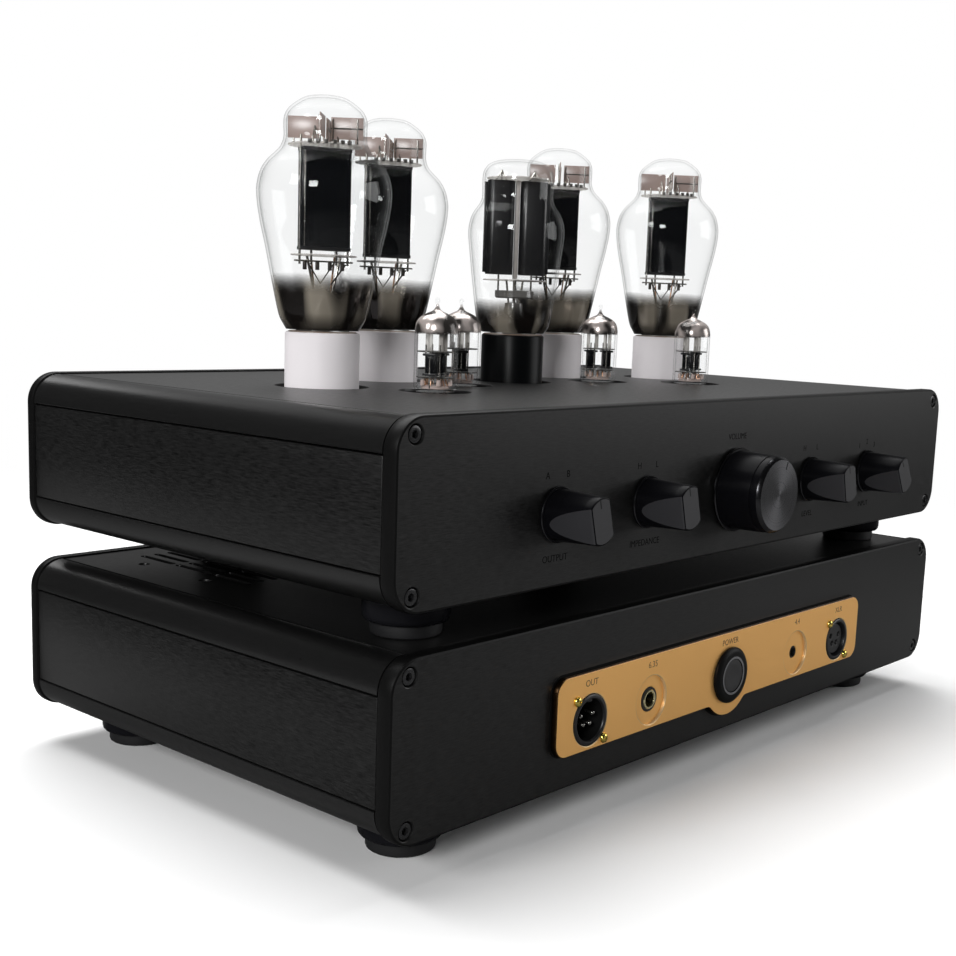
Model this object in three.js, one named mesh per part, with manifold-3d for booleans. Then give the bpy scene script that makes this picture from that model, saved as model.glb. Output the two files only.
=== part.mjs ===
// Valve headphone amplifier in two boxes: the amplifier stands on its power supply.
// Millimetres, +X to the right, +Y to the back, +Z up. The origin is under the middle of
// the whole outline, on the surface that the lower feet stand on.

import * as THREE from "three";
import { mergeVertices } from "three/addons/utils/BufferGeometryUtils.js";
import Module from "manifold-3d";

const wasm = await Module();
wasm.setup();

// ---------------------------------------------------------------- driving dimensions

const clearance = 0.3; // between pieces that touch on the real object

// Boxes. Both have the same shell.
const boxWidth = 450;
const boxDepth = 254; // front plate's face to rear plate's face
const boxHeight = 74; // of the end plates
const cornerRadius = 14; // of the end plates
const frontPlateThickness = 7.5;
const rearPlateThickness = 5;
const railSetIn = 1; // rails and panels stand this far inside the end plates' outline
const railWall = 2.5;
const railLegSpare = 0.5; // straight part of a rail's leg past its round corner
const seam = 0.5; // visible joint between a rail and a panel
const panelThickness = 3; // top and bottom panels
const sidePanelThickness = 4.6; // with the tongues that run behind the rails
const ledgeReach = 4; // of the rail's ledge under a panel's edge
const ledgeThickness = 2;

// Screws that hold an end plate to its four rails.
const screwFromSide = 9.5;
const screwFromEdge = 7;
const screwHeadRadius = 3.9;
const screwHeadDepth = 3;
const screwHoleRadius = 2.1;
const screwPortRadius = 1.6;
const screwPortWall = 2.4;

// Feet. The amplifier's feet stand on the supply's top panel.
const footHeight = 18;
const footRadius = 18;
const footPadRadius = 14.5;
const footPadHeight = 5.5;
const footBoreRadius = 4.5;
const footBoreDepth = 9;
const footFromSide = 40;
const footFromFront = 34;
const footFromBack = 32;
const upperBackFootFromSide = 95; // the amplifier's back feet stand closer together, clear of the vents

// Knobs, on one line below the middle of the amplifier's front plate.
const knobLineHeight = 30.5; // above the front plate's lower edge
const innerKnobX = 71.9;
const outerKnobX = 134.2;
const twoWayRest = -15; // degrees clockwise from upright, seen from the front
const threeWayRest = -30;
const knobStandOff = 0.8; // gap between a knob and the plate
const volumeKnobRadius = 20.3;
const volumeKnobReach = 25;
const selectorKnobRadius = 11.7;
const selectorKnobReach = 24;
const selectorTipHalfWidth = 6.2; // half the width of the bar that the two flats leave
const selectorFlatStart = 4.5; // distance from the plate where a flat runs out
const knobFlangeThickness = 1.4;
const shaftRadius = 3;
const shaftHoleRadius = 3.8;
const shaftEngagement = 12; // length of shaft inside its control

// Controls behind the front plate.
const controlBoardThickness = 2;
const selectorBodyRadius = 14;
const selectorBodyLength = 20;
const volumeBodyRadius = 21;
const volumeBodyLength = 30;

// Valves. Heights are above the amplifier's top panel.
const triodeOuter = { x: 136.4, y: 144.4 };
const triodeInner = { x: 68.2, y: 174.9 };
const rectifierPlace = { x: 0, y: 146.5 };
const driverOuter = { x: 105.1, y: 100.4 };
const driverInner = { x: 56.9, y: 131.1 };
const largeHoleRadius = 22;
const smallHoleRadius = 17;
const glassWall = 1.2;
const baseRadius = 17.4;
const baseTop = 25.4;
const seatDepth = 17; // top panel's face down to a large valve's seat
const driverSeatDepth = 9;
const socketHeight = 8;
const largeSocketRadius = 20;
const smallSocketRadius = 12.5;
const deckThickness = 2;

// Gold socket panel on the supply's front plate.
const goldWidth = 265;
const goldHeight = 35;
const goldThickness = 3;
const goldCorner = 7;
const goldBottom = 15.5; // above the front plate's lower edge
const goldBulgeRadius = 20.5; // the round part under the power button
const socketLineHeight = 29; // above the front plate's lower edge
const xlrX = 109.4;
const jackX = 64.6;
const jackRecessRadius = 11.5;
const jackRecessDepth = 0.8;
const xlrShellRadius = 11.4;
const xlrBoreRadius = 9.2;
const xlrCupDepth = 15;
const xlrPinLength = 9.5;
const xlrPinRadius = 1.2;
const xlrPinCircle = 4.8;
const xlrInsertRadius = 8.2;
const xlrBodyLength = 22;
const largeJackBore = 3.5;
const largeJackRing = 5;
const largeJackHole = 6;
const smallJackBore = 2.3;
const smallJackRing = 3.2;
const jackBodyRadius = 8;
const jackBodyLength = 30;

// Power switch.
const bezelRadius = 14;
const bezelReach = 3; // in front of the gold panel
const buttonRadius = 8.2;
const buttonTravel = 2.5;
const buttonPlungerRadius = 3;
const switchBarrelRadius = 11;
const switchBarrelLength = 26;

// Back of the boxes.
const inletHeight = 37;
const inletX = -150;
const inputRowHeight = 37;
const inputX = 120;
const phonoReach = 11; // of a phono socket behind the rear plate
const linkSocketX = 60; // round socket of the lead that joins the boxes
const linkSocketRadius = 8;
const linkSocketDepth = 4.4;

// Transformers.
const toroidRadius = 55;
const toroidHeight = 46;
const transformerCan = { width: 190, depth: 58, airAbove: 5.4, x: -20 };

// ---------------------------------------------------------------- derived places

const footGap = footHeight - 2 * railSetIn; // between the two boxes' end plates
const supplyBottom = footHeight - railSetIn;
const amplifierBottom = supplyBottom + boxHeight + footGap;
const frontFace = -(boxDepth + phonoReach - volumeKnobReach) / 2; // centres the whole outline
const railRadius = cornerRadius - railSetIn;
const railLeg = railRadius + railLegSpare;
const panelFace = boxHeight - railSetIn; // outer face of a top panel
const innerFront = frontPlateThickness + clearance;
const innerBack = boxDepth - rearPlateThickness - clearance;
const railPortU = screwFromSide - railSetIn;
const railPortV = screwFromEdge - railSetIn;
const bossRadius = screwPortRadius + screwPortWall;
const goldFace = -clearance - goldThickness; // in front of the front plate's face
const deckTop = panelFace - seatDepth - clearance - socketHeight;

// ---------------------------------------------------------------- materials

function finish(color, roughness, metalness, opacity = 1) {
  return new THREE.MeshStandardMaterial({ color, roughness, metalness, opacity, transparent: opacity < 1 });
}

const blackAnodised = finish(0x141416, 0.45, 0.9);
const blackSatin = finish(0x17181a, 0.35, 0.8);
const blackPlastic = finish(0x0c0c0d, 0.4, 0);
const goldAnodised = finish(0xd9b27a, 0.35, 0.9);
const brightGold = finish(0xe0cf8a, 0.2, 1);
const steel = finish(0x8d8f92, 0.4, 0.9);
const ceramic = finish(0xf1eeee, 0.3, 0);
const bakelite = finish(0x0e1012, 0.25, 0);
const glass = finish(0xe8eef0, 0.05, 0, 0.3);
const blackLacquer = finish(0x101010, 0.5, 0.2);

// ---------------------------------------------------------------- solids

const circleSteps = 16;

/** A closed mesh as a solid. Faces that shrank to a line at a pole are dropped. */
function solid(geometry) {
  const bare = geometry.clone();
  bare.deleteAttribute("normal");
  bare.deleteAttribute("uv");
  const merged = mergeVertices(bare, 1e-4);
  const corners = merged.index.array;
  const kept = [];
  for (let i = 0; i < corners.length; i += 3) {
    const [a, b, c] = [corners[i], corners[i + 1], corners[i + 2]];
    if (a !== b && b !== c && c !== a) kept.push(a, b, c);
  }
  const mesh = new wasm.Mesh({
    numProp: 3,
    vertProperties: merged.attributes.position.array,
    triVerts: Uint32Array.from(kept),
  });
  return new wasm.Manifold(mesh);
}

function piece(name, body, material) {
  const { vertProperties, triVerts } = body.getMesh();
  const geometry = new THREE.BufferGeometry();
  geometry.setAttribute("position", new THREE.BufferAttribute(vertProperties, 3));
  geometry.setIndex(new THREE.BufferAttribute(triVerts, 1));
  geometry.computeVertexNormals();
  const mesh = new THREE.Mesh(geometry, material);
  mesh.name = name;
  return mesh;
}

function joined(bodies) {
  return bodies.reduce((whole, body) => whole.add(body));
}

function cut(body, tools) {
  return tools.reduce((rest, tool) => rest.subtract(tool), body);
}

function arcPoints(centreX, centreY, radius, from, to, steps) {
  return Array.from({ length: steps + 1 }, (_, i) => {
    const angle = from + ((to - from) * i) / steps;
    return new THREE.Vector2(centreX + radius * Math.cos(angle), centreY + radius * Math.sin(angle));
  });
}

function circle(x, y, radius, steps = circleSteps) {
  return new THREE.Shape(arcPoints(x, y, radius, 0, 2 * Math.PI, steps).slice(0, -1));
}

/** Rounded rectangle, centred on x = 0 and standing on y = bottom. */
function roundedRectangle(width, height, radius, bottom = 0) {
  const side = width / 2 - radius;
  const low = bottom + radius;
  const high = bottom + height - radius;
  const quarter = Math.PI / 2;
  return new THREE.Shape([
    ...arcPoints(side, low, radius, -quarter, 0, 5),
    ...arcPoints(side, high, radius, 0, quarter, 5),
    ...arcPoints(-side, high, radius, quarter, 2 * quarter, 5),
    ...arcPoints(-side, low, radius, 2 * quarter, 3 * quarter, 5),
  ]);
}

/** A shape drawn in X and Z, drawn out along Y. */
function alongY(shape, from, to) {
  const geometry = new THREE.ExtrudeGeometry(shape, { depth: to - from, bevelEnabled: false });
  return solid(geometry.rotateX(Math.PI / 2).translate(0, to, 0));
}

/** A shape drawn in X and Y, drawn out along Z. */
function alongZ(shape, from, to) {
  const geometry = new THREE.ExtrudeGeometry(shape, { depth: to - from, bevelEnabled: false });
  return solid(geometry.translate(0, 0, from));
}

/** A profile of [radius, height] points, anticlockwise, turned about Z. */
function turned(profile, steps = circleSteps) {
  const points = profile.map(([radius, height]) => new THREE.Vector2(radius, height));
  return solid(new THREE.LatheGeometry(points, steps).rotateX(Math.PI / 2));
}

/** The same, turned about the line along Y through (x, z); heights run out of the front. */
function turnedFacingFront(profile, x, z, steps = circleSteps) {
  return turned(profile, steps).rotate([90, 0, 0]).translate([x, 0, z]);
}

function block(width, depth, height, x, y, z) {
  return solid(new THREE.BoxGeometry(width, depth, height).translate(x, y, z));
}

function rod(x, z, radius, from, to, steps = circleSteps) {
  return alongY(circle(x, z, radius, steps), from, to);
}

function post(x, y, radius, from, to, steps = circleSteps) {
  return alongZ(circle(x, y, radius, steps), from, to);
}

function ring(count, radius, startAngle = 0) {
  return Array.from({ length: count }, (_, i) => {
    const angle = startAngle + (2 * Math.PI * i) / count;
    return [radius * Math.cos(angle), radius * Math.sin(angle)];
  });
}

// ---------------------------------------------------------------- shell of a box

const plateScrews = [-1, 1].flatMap((side) =>
  [screwFromEdge, boxHeight - screwFromEdge].map((z) => [side * (boxWidth / 2 - screwFromSide), z]),
);

/** End plate with four counterbored screw holes; outward is -1 at the front, 1 at the back. */
function endPlate(from, to, outward, openings) {
  const plate = alongY(roundedRectangle(boxWidth, boxHeight, cornerRadius), from, to);
  const face = outward < 0 ? from : to;
  const headFloor = face - outward * screwHeadDepth;
  const holes = plateScrews.flatMap(([x, z]) => [
    rod(x, z, screwHoleRadius, from - 1, to + 1, 8),
    rod(x, z, screwHeadRadius, Math.min(face + outward, headFloor), Math.max(face + outward, headFloor), 12),
  ]);
  return cut(plate, [...holes, ...openings]);
}

/** Corner rail: a round-cornered angle with a screw port and a ledge for the panel. */
function rail(side, level) {
  const ledgeTop = panelThickness + clearance;
  const ledgeBottom = ledgeTop + ledgeThickness;
  const outline = [
    [0, railLeg],
    ...arcPoints(railRadius, railRadius, railRadius, Math.PI, 1.5 * Math.PI, 6).map((p) => [p.x, p.y]),
    [railLeg, 0],
    [railLeg, ledgeTop],
    [railLeg + ledgeReach, ledgeTop],
    [railLeg + ledgeReach, ledgeBottom],
    [railPortU + bossRadius + 0.5, ledgeBottom],
    ...arcPoints(railPortU, railPortV, bossRadius, 0, Math.PI / 2, 3).map((p) => [p.x, p.y]),
    [railWall, railPortV + bossRadius],
    [railWall, railLeg],
  ];
  const place = ([u, v]) =>
    new THREE.Vector2(
      side * (boxWidth / 2 - railSetIn - u),
      level > 0 ? boxHeight - railSetIn - v : railSetIn + v,
    );
  const shape = new THREE.Shape(outline.map(place));
  const port = place([railPortU, railPortV]);
  shape.holes.push(circle(port.x, port.y, screwPortRadius, 8));
  return alongY(shape, innerFront, innerBack);
}

/** Side panel between two rails, with a tongue behind each rail's leg. */
function sidePanel(side) {
  const faceLow = railSetIn + railLeg + seam;
  const tongueLow = railSetIn + railPortV + bossRadius + 0.5;
  const back = railWall + clearance;
  const outline = [
    [0, faceLow],
    [0, boxHeight - faceLow],
    [back, boxHeight - faceLow],
    [back, boxHeight - tongueLow],
    [sidePanelThickness, boxHeight - tongueLow],
    [sidePanelThickness, tongueLow],
    [back, tongueLow],
    [back, faceLow],
  ];
  const place = ([u, z]) => new THREE.Vector2(side * (boxWidth / 2 - railSetIn - u), z);
  return alongY(new THREE.Shape(outline.map(place)), innerFront, innerBack);
}

/** Top or bottom panel, lying on the rails' ledges; its outer face is at height face. */
function flatPanel(lowerFace, holes) {
  const halfWidth = boxWidth / 2 - railSetIn - railLeg - seam;
  const shape = new THREE.Shape([
    new THREE.Vector2(-halfWidth, innerFront),
    new THREE.Vector2(halfWidth, innerFront),
    new THREE.Vector2(halfWidth, innerBack),
    new THREE.Vector2(-halfWidth, innerBack),
  ]);
  shape.holes.push(...holes);
  return alongZ(shape, lowerFace, lowerFace + panelThickness);
}

/** Slot along Y with round ends. */
function slot(x, y, length, width) {
  const radius = width / 2;
  const reach = length / 2 - radius;
  return new THREE.Shape([
    ...arcPoints(x, y + reach, radius, 0, Math.PI, 3),
    ...arcPoints(x, y - reach, radius, Math.PI, 2 * Math.PI, 3),
  ]);
}

/** Turned foot with a stepped rubber end and a screw bore from below; it stands on z = 0. */
function foot() {
  const top = footHeight - clearance;
  return turned(
    [
      [0, top],
      [0, footBoreDepth],
      [footBoreRadius, footBoreDepth],
      [footBoreRadius, 0],
      [footPadRadius, 0],
      [footPadRadius, footPadHeight],
      [footRadius - 1.5, footPadHeight],
      [footRadius, footPadHeight + 2.5],
      [footRadius, top],
      [0, top],
    ],
    18,
  );
}

function footPlaces(backFromSide) {
  return {
    front_left: [-(boxWidth / 2 - footFromSide), footFromFront],
    front_right: [boxWidth / 2 - footFromSide, footFromFront],
    back_left: [-(boxWidth / 2 - backFromSide), boxDepth - footFromBack],
    back_right: [boxWidth / 2 - backFromSide, boxDepth - footFromBack],
  };
}

const supplyFeet = footPlaces(footFromSide);
const amplifierFeet = footPlaces(upperBackFootFromSide);

/** Everything that the two boxes have in common. */
function shell(prefix, feet, frontOpenings, rearOpenings, topHoles) {
  const rearFrom = boxDepth - rearPlateThickness;
  const pieces = [
    piece(`${prefix}_front_plate`, endPlate(0, frontPlateThickness, -1, frontOpenings), blackAnodised),
    piece(`${prefix}_rear_plate`, endPlate(rearFrom, boxDepth, 1, rearOpenings), blackAnodised),
    piece(`${prefix}_top_panel`, flatPanel(panelFace - panelThickness, topHoles), blackAnodised),
    piece(`${prefix}_bottom_panel`, flatPanel(railSetIn, footScrewHoles(feet)), blackAnodised),
  ];
  for (const [sideName, side] of [["left", -1], ["right", 1]]) {
    pieces.push(piece(`${prefix}_side_${sideName}`, sidePanel(side), blackAnodised));
    for (const [levelName, level] of [["top", 1], ["bottom", -1]]) {
      pieces.push(piece(`${prefix}_rail_${levelName}_${sideName}`, rail(side, level), blackAnodised));
    }
  }
  for (const [place, [x, y]] of Object.entries(feet)) {
    const mesh = piece(`${prefix}_foot_${place}`, foot(), blackSatin);
    mesh.position.set(x, y, railSetIn - footHeight);
    pieces.push(mesh);
  }
  return pieces;
}

function footScrewHoles(feet) {
  return Object.values(feet).map(([x, y]) => circle(x, y, screwHoleRadius, 8));
}

// ---------------------------------------------------------------- knobs and controls

const knobPlaces = {
  output_selector_knob: -outerKnobX,
  impedance_selector_knob: -innerKnobX,
  volume_knob: 0,
  level_selector_knob: innerKnobX,
  input_selector_knob: outerKnobX,
};
const restAngles = {
  output_selector_knob: twoWayRest,
  impedance_selector_knob: twoWayRest,
  level_selector_knob: twoWayRest,
  input_selector_knob: threeWayRest,
};
const shaftEnd = -(frontPlateThickness + clearance + shaftEngagement);

/** Shaft that a knob is fixed on, as two profile points behind the knob. */
const shaftProfile = [[0, shaftEnd], [shaftRadius, shaftEnd], [shaftRadius, knobStandOff]];

function volumeKnob() {
  const bodyRadius = volumeKnobRadius - 1.2;
  const flangeTop = knobStandOff + knobFlangeThickness;
  const profile = [
    ...shaftProfile,
    [volumeKnobRadius, knobStandOff],
    [volumeKnobRadius, flangeTop],
    [bodyRadius, flangeTop],
    [bodyRadius - 0.6, volumeKnobReach - 1.8],
    [bodyRadius - 2.2, volumeKnobReach],
    [0, volumeKnobReach],
  ];
  return turnedFacingFront(profile, 0, knobLineHeight, 28);
}

/** Pointer knob: a slightly tapered round body with two flats that leave a bar at the tip. */
function selectorKnob(x, restAngle) {
  const bodyRadius = selectorKnobRadius - 0.9;
  const flangeTop = knobStandOff + knobFlangeThickness;
  const body = turnedFacingFront(
    [
      ...shaftProfile,
      [selectorKnobRadius, knobStandOff],
      [selectorKnobRadius, flangeTop],
      [bodyRadius, flangeTop],
      [bodyRadius - 1, selectorKnobReach],
      [0, selectorKnobReach],
    ],
    0,
    0,
    20,
  );
  const flats = [-1, 1].map((side) => {
    const wedge = new THREE.Shape(
      [
        [side * bodyRadius, -selectorFlatStart],
        [side * selectorTipHalfWidth, -selectorKnobReach],
        [side * selectorTipHalfWidth, -selectorKnobReach - 2],
        [side * 2 * bodyRadius, -selectorKnobReach - 2],
        [side * 2 * bodyRadius, -selectorFlatStart],
      ].map(([u, y]) => new THREE.Vector2(u, y)),
    );
    return alongZ(wedge, -2 * bodyRadius, 2 * bodyRadius);
  });
  return cut(body, flats).rotate([0, restAngle, 0]).translate([x, 0, knobLineHeight]);
}

/** The selector switches and the volume control, on the board that carries them. */
function controlBoard() {
  const boardBack = frontPlateThickness + clearance;
  const bodies = Object.entries(knobPlaces).map(([name, x]) => {
    const isVolume = name === "volume_knob";
    const radius = isVolume ? volumeBodyRadius : selectorBodyRadius;
    const length = isVolume ? volumeBodyLength : selectorBodyLength;
    return rod(x, knobLineHeight, radius, boardBack, boardBack + length, 12);
  });
  const board = block(
    2 * outerKnobX + 3 * selectorBodyRadius,
    controlBoardThickness,
    2 * selectorBodyRadius,
    0,
    boardBack + 4 + controlBoardThickness / 2,
    knobLineHeight,
  );
  const bores = Object.values(knobPlaces).map((x) =>
    rod(x, knobLineHeight, shaftHoleRadius, boardBack - 1, boardBack + shaftEngagement + 2, 8),
  );
  return cut(joined([board, ...bodies]), bores);
}

// ---------------------------------------------------------------- valves

/** Blown bulb, open at the bottom: the outline and the same moved in by the wall. */
function bulb(outline) {
  const inner = outline.map(([radius, height], i) => {
    if (i === 0) return [0, height - glassWall];
    const [r0, h0] = outline[i - 1];
    const [r1, h1] = outline[Math.min(i + 1, outline.length - 1)];
    const length = Math.hypot(r1 - r0, h1 - h0);
    const isRim = i === outline.length - 1;
    const lowered = isRim ? height : height - (glassWall * (r1 - r0)) / length;
    return [radius + (glassWall * (h1 - h0)) / length, lowered];
  });
  return turned([...inner, ...[...outline].reverse()], 16);
}

const triodeOutline = [
  [0, 132], [9.7, 130.7], [16.4, 126.4], [19, 121], [19, 111.4], [24, 105], [29.2, 97.6], [31, 87.6],
  [29.3, 75], [24.2, 50], [20.2, 32], [16.9, baseTop + clearance],
];

const rectifierOutline = [
  [0, 117.5], [11, 116.8], [16.9, 113.8], [19.1, 108], [19.1, 95.6], [23, 89.4], [25.8, 79],
  [25.1, 70], [22, 45], [19.6, 30], [16.9, baseTop + clearance],
];

/** Base, pins and electrode mount of a large valve, standing on z = 0 at its seat. */
function valveBase(pins, pinCircle, pinRadius, plates) {
  const top = seatDepth + baseTop;
  const stemTop = top + 14;
  const base = turned(
    [[0, 0], [baseRadius, 0], [baseRadius, top - 0.6], [baseRadius - 0.6, top], [9, top], [5, stemTop],
      [0, stemTop]],
    20,
  );
  const pinPosts = ring(pins, pinCircle, Math.PI / 4).map(([x, y]) => post(x, y, pinRadius, -12, 2, 6));
  const support = block(3, 3, plates.bottom - baseTop + 6, 0, 0, (plates.bottom + baseTop) / 2 + seatDepth);
  const height = plates.top - plates.bottom;
  const middle = (plates.top + plates.bottom) / 2 + seatDepth;
  const anodes = plates.offsets.map((x) => block(plates.width, plates.depth, height, x, 0, middle));
  const mica = post(0, 0, 15, plates.top + seatDepth - 0.5, plates.top + seatDepth + 1, 12);
  return joined([base, ...pinPosts, support, ...anodes, mica]);
}

const triodePlates = { width: 24, depth: 9, bottom: 62, top: 106, offsets: [0] };
const rectifierPlates = { width: 14.5, depth: 9, bottom: 57, top: 106, offsets: [-8.4, 8.4] };

/** Small all-glass valve with nine pins, standing on z = 0 at its seat. */
function driverValve() {
  const upper = [[10.3, 26], [9.6, 31], [6.4, 34.8], [1.7, 37], [1.6, 41.4], [0, 42.2]].map(
    ([radius, height]) => [radius, height + driverSeatDepth],
  );
  const body = turned([[0, 0], [10.3, 0], ...upper], 14);
  const pins = ring(9, 5.95).map(([x, y]) => post(x, y, 0.6, -6, 0.5, 4));
  return joined([body, ...pins]);
}

const triodePlaces = [
  [-triodeOuter.x, triodeOuter.y],
  [-triodeInner.x, triodeInner.y],
  [triodeInner.x, triodeInner.y],
  [triodeOuter.x, triodeOuter.y],
];
const driverPlaces = [
  [-driverOuter.x, driverOuter.y],
  [-driverInner.x, driverInner.y],
  [driverInner.x, driverInner.y],
  [driverOuter.x, driverOuter.y],
];
const triodePins = { count: 4, circle: 8, radius: 2 };
const rectifierPins = { count: 8, circle: 8.7, radius: 1.2 };
const pinClearance = 0.5;

/** Deck under the top panel with a socket for every valve. */
function valveDeck() {
  const xReach = triodeOuter.x + largeSocketRadius + 6;
  const plate = block(
    2 * xReach,
    triodeInner.y - driverOuter.y + largeSocketRadius + smallSocketRadius + 8,
    deckThickness,
    0,
    (triodeInner.y + largeSocketRadius + driverOuter.y - smallSocketRadius) / 2,
    deckTop - deckThickness / 2,
  );
  const seat = panelFace - seatDepth - clearance;
  const driverSeat = panelFace - driverSeatDepth - clearance;
  const sockets = [];
  const holes = [];
  const addPins = (x, y, { count, circle: pinCircle, radius }, start, top, steps) => {
    for (const [u, v] of ring(count, pinCircle, start)) {
      holes.push(post(x + u, y + v, radius + pinClearance, deckTop - deckThickness - 1, top + 1, steps));
    }
  };
  for (const [x, y] of triodePlaces) {
    sockets.push(post(x, y, largeSocketRadius, deckTop - 1, seat, 16));
    addPins(x, y, triodePins, Math.PI / 4, seat, 6);
  }
  sockets.push(post(rectifierPlace.x, rectifierPlace.y, largeSocketRadius, deckTop - 1, seat, 16));
  addPins(rectifierPlace.x, rectifierPlace.y, rectifierPins, Math.PI / 4, seat, 6);
  for (const [x, y] of driverPlaces) {
    sockets.push(post(x, y, smallSocketRadius, deckTop - 1, driverSeat, 12));
    addPins(x, y, { count: 9, circle: 5.95, radius: 0.6 }, 0, driverSeat, 4);
  }
  return cut(joined([plate, ...sockets]), holes);
}

// ---------------------------------------------------------------- front sockets

/** Gold panel: a long rounded plate with a round bulge under the power button. */
function goldPanel() {
  const back = -clearance;
  const plate = alongY(roundedRectangle(goldWidth, goldHeight, goldCorner, goldBottom), goldFace, back);
  const bulge = rod(0, socketLineHeight, goldBulgeRadius, goldFace, back, 28);
  const through = (x, radius) => rod(x, socketLineHeight, radius, goldFace - 1, 1);
  const recess = (x) =>
    rod(x, socketLineHeight, jackRecessRadius, goldFace - 1, goldFace + jackRecessDepth, 20);
  return cut(plate.add(bulge), [
    through(-xlrX, xlrShellRadius + clearance),
    through(xlrX, xlrShellRadius + clearance),
    through(0, switchBarrelRadius + clearance),
    recess(-jackX),
    recess(jackX),
    through(-jackX, largeJackHole),
    through(jackX, smallJackRing + clearance),
  ]);
}

const xlrPins = ring(4, xlrPinCircle, Math.PI / 4);

/** Four-pin chassis plug: a cup with its pins standing inside. */
function xlrPlug(x) {
  const rim = -goldFace + 0.4;
  const cup = turnedFacingFront(
    [[0, -xlrBodyLength], [xlrShellRadius, -xlrBodyLength], [xlrShellRadius, rim], [xlrBoreRadius, rim],
      [xlrBoreRadius, rim - xlrCupDepth], [0, rim - xlrCupDepth]],
    x,
    socketLineHeight,
    18,
  );
  const floor = xlrCupDepth - rim;
  const pins = xlrPins.map(([u, v]) =>
    rod(x + u, socketLineHeight + v, xlrPinRadius, floor - xlrPinLength, floor + 1, 6),
  );
  return joined([cup, ...pins]);
}

/** Four-hole chassis socket: an insert with a groove around it for the plug's shell. */
function xlrSocket(x) {
  const rim = -goldFace + 0.4;
  const body = turnedFacingFront(
    [[0, -xlrBodyLength], [xlrShellRadius, -xlrBodyLength], [xlrShellRadius, rim], [xlrBoreRadius, rim],
      [xlrBoreRadius, rim - xlrCupDepth], [xlrInsertRadius, rim - xlrCupDepth], [xlrInsertRadius, rim - 1],
      [0, rim - 1]],
    x,
    socketLineHeight,
    18,
  );
  const holes = xlrPins.map(([u, v]) =>
    rod(x + u, socketLineHeight + v, xlrPinRadius + 0.2, -rim - 1, xlrCupDepth - rim - 2, 6),
  );
  return cut(body, holes);
}

/** Headphone jack: a ring that shows in the panel and a longer body behind the plate. */
function jack(x, bore, ringRadius, reach) {
  const back = -(frontPlateThickness + clearance);
  return turnedFacingFront(
    [[0, back - jackBodyLength], [jackBodyRadius, back - jackBodyLength], [jackBodyRadius, back],
      [ringRadius, back], [ringRadius, reach], [bore, reach], [bore, back - jackBodyLength + 4],
      [0, back - jackBodyLength + 4]],
    x,
    socketLineHeight,
    14,
  );
}

/** Body of the power switch: a round bezel, and a barrel through both plates. */
function powerSwitch() {
  const bezelBack = -goldFace + clearance;
  const bezelFront = -goldFace + bezelReach;
  const wellDepth = buttonTravel + 5;
  return turnedFacingFront(
    [
      [buttonPlungerRadius + 1, -switchBarrelLength],
      [switchBarrelRadius, -switchBarrelLength],
      [switchBarrelRadius, bezelBack],
      [bezelRadius, bezelBack],
      [bezelRadius, bezelFront - 1.2],
      [bezelRadius - 1.2, bezelFront],
      [buttonRadius + clearance, bezelFront],
      [buttonRadius + clearance, bezelFront - wellDepth],
      [buttonPlungerRadius + 1, bezelFront - wellDepth],
      [buttonPlungerRadius + 1, -switchBarrelLength],
    ],
    0,
    socketLineHeight,
    24,
  );
}

function powerButton() {
  const face = -goldFace + bezelReach - 0.2;
  const capBack = face - 4;
  return turnedFacingFront(
    [
      [0, -switchBarrelLength + buttonTravel + 2],
      [buttonPlungerRadius, -switchBarrelLength + buttonTravel + 2],
      [buttonPlungerRadius, capBack],
      [buttonRadius, capBack],
      [buttonRadius, face - 0.4],
      [buttonRadius - 0.4, face],
      [0, face],
    ],
    0,
    socketLineHeight,
    20,
  );
}

// ---------------------------------------------------------------- back and inside

const inlet = { width: 48, height: 27, flange: 2.5, depth: 26, mouthWidth: 24, mouthHeight: 16, cavity: 18 };

/** Mains inlet: a flange on the rear plate and a body with three blades in its cavity. */
function mainsInlet() {
  const face = boxDepth + clearance;
  const flange = alongY(
    roundedRectangle(inlet.width, inlet.height, 4, inletHeight - inlet.height / 2),
    face,
    face + inlet.flange,
  );
  const body = block(30, inlet.depth, 22, 0, face - inlet.depth / 2 + 1, inletHeight);
  const cavityBack = face + inlet.flange - inlet.cavity;
  const mouth = block(inlet.mouthWidth, inlet.cavity + 2, inlet.mouthHeight, 0,
    cavityBack + inlet.cavity / 2 + 1, inletHeight);
  const blades = [[-7, -2], [0, 2], [7, -2]].map(([x, z]) =>
    block(2, 13, 5, x, cavityBack + 5.5, inletHeight + z));
  return joined([flange.add(body).subtract(mouth), ...blades]).translate([inletX, 0, 0]);
}

const phonoColumns = [-24, 0, 24];
const phonoRows = [-9, 9];

/** Input sockets: three pairs of phono sockets on one strip. */
function inputSockets() {
  const face = boxDepth + clearance;
  const strip = alongY(
    roundedRectangle(76, 38, 4, inputRowHeight - 19), face, face + 2).translate([inputX, 0, 0]);
  const sockets = [];
  const bores = [];
  for (const column of phonoColumns) {
    for (const row of phonoRows) {
      const [x, z] = [inputX + column, inputRowHeight + row];
      sockets.push(rod(x, z, 5.5, face - 14, face + 4, 10));
      sockets.push(rod(x, z, 4.2, face, face + phonoReach - clearance, 10));
      bores.push(rod(x, z, 1.7, face - 2, face + phonoReach + 1, 6));
    }
  }
  return cut(joined([strip, ...sockets]), bores);
}

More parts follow.
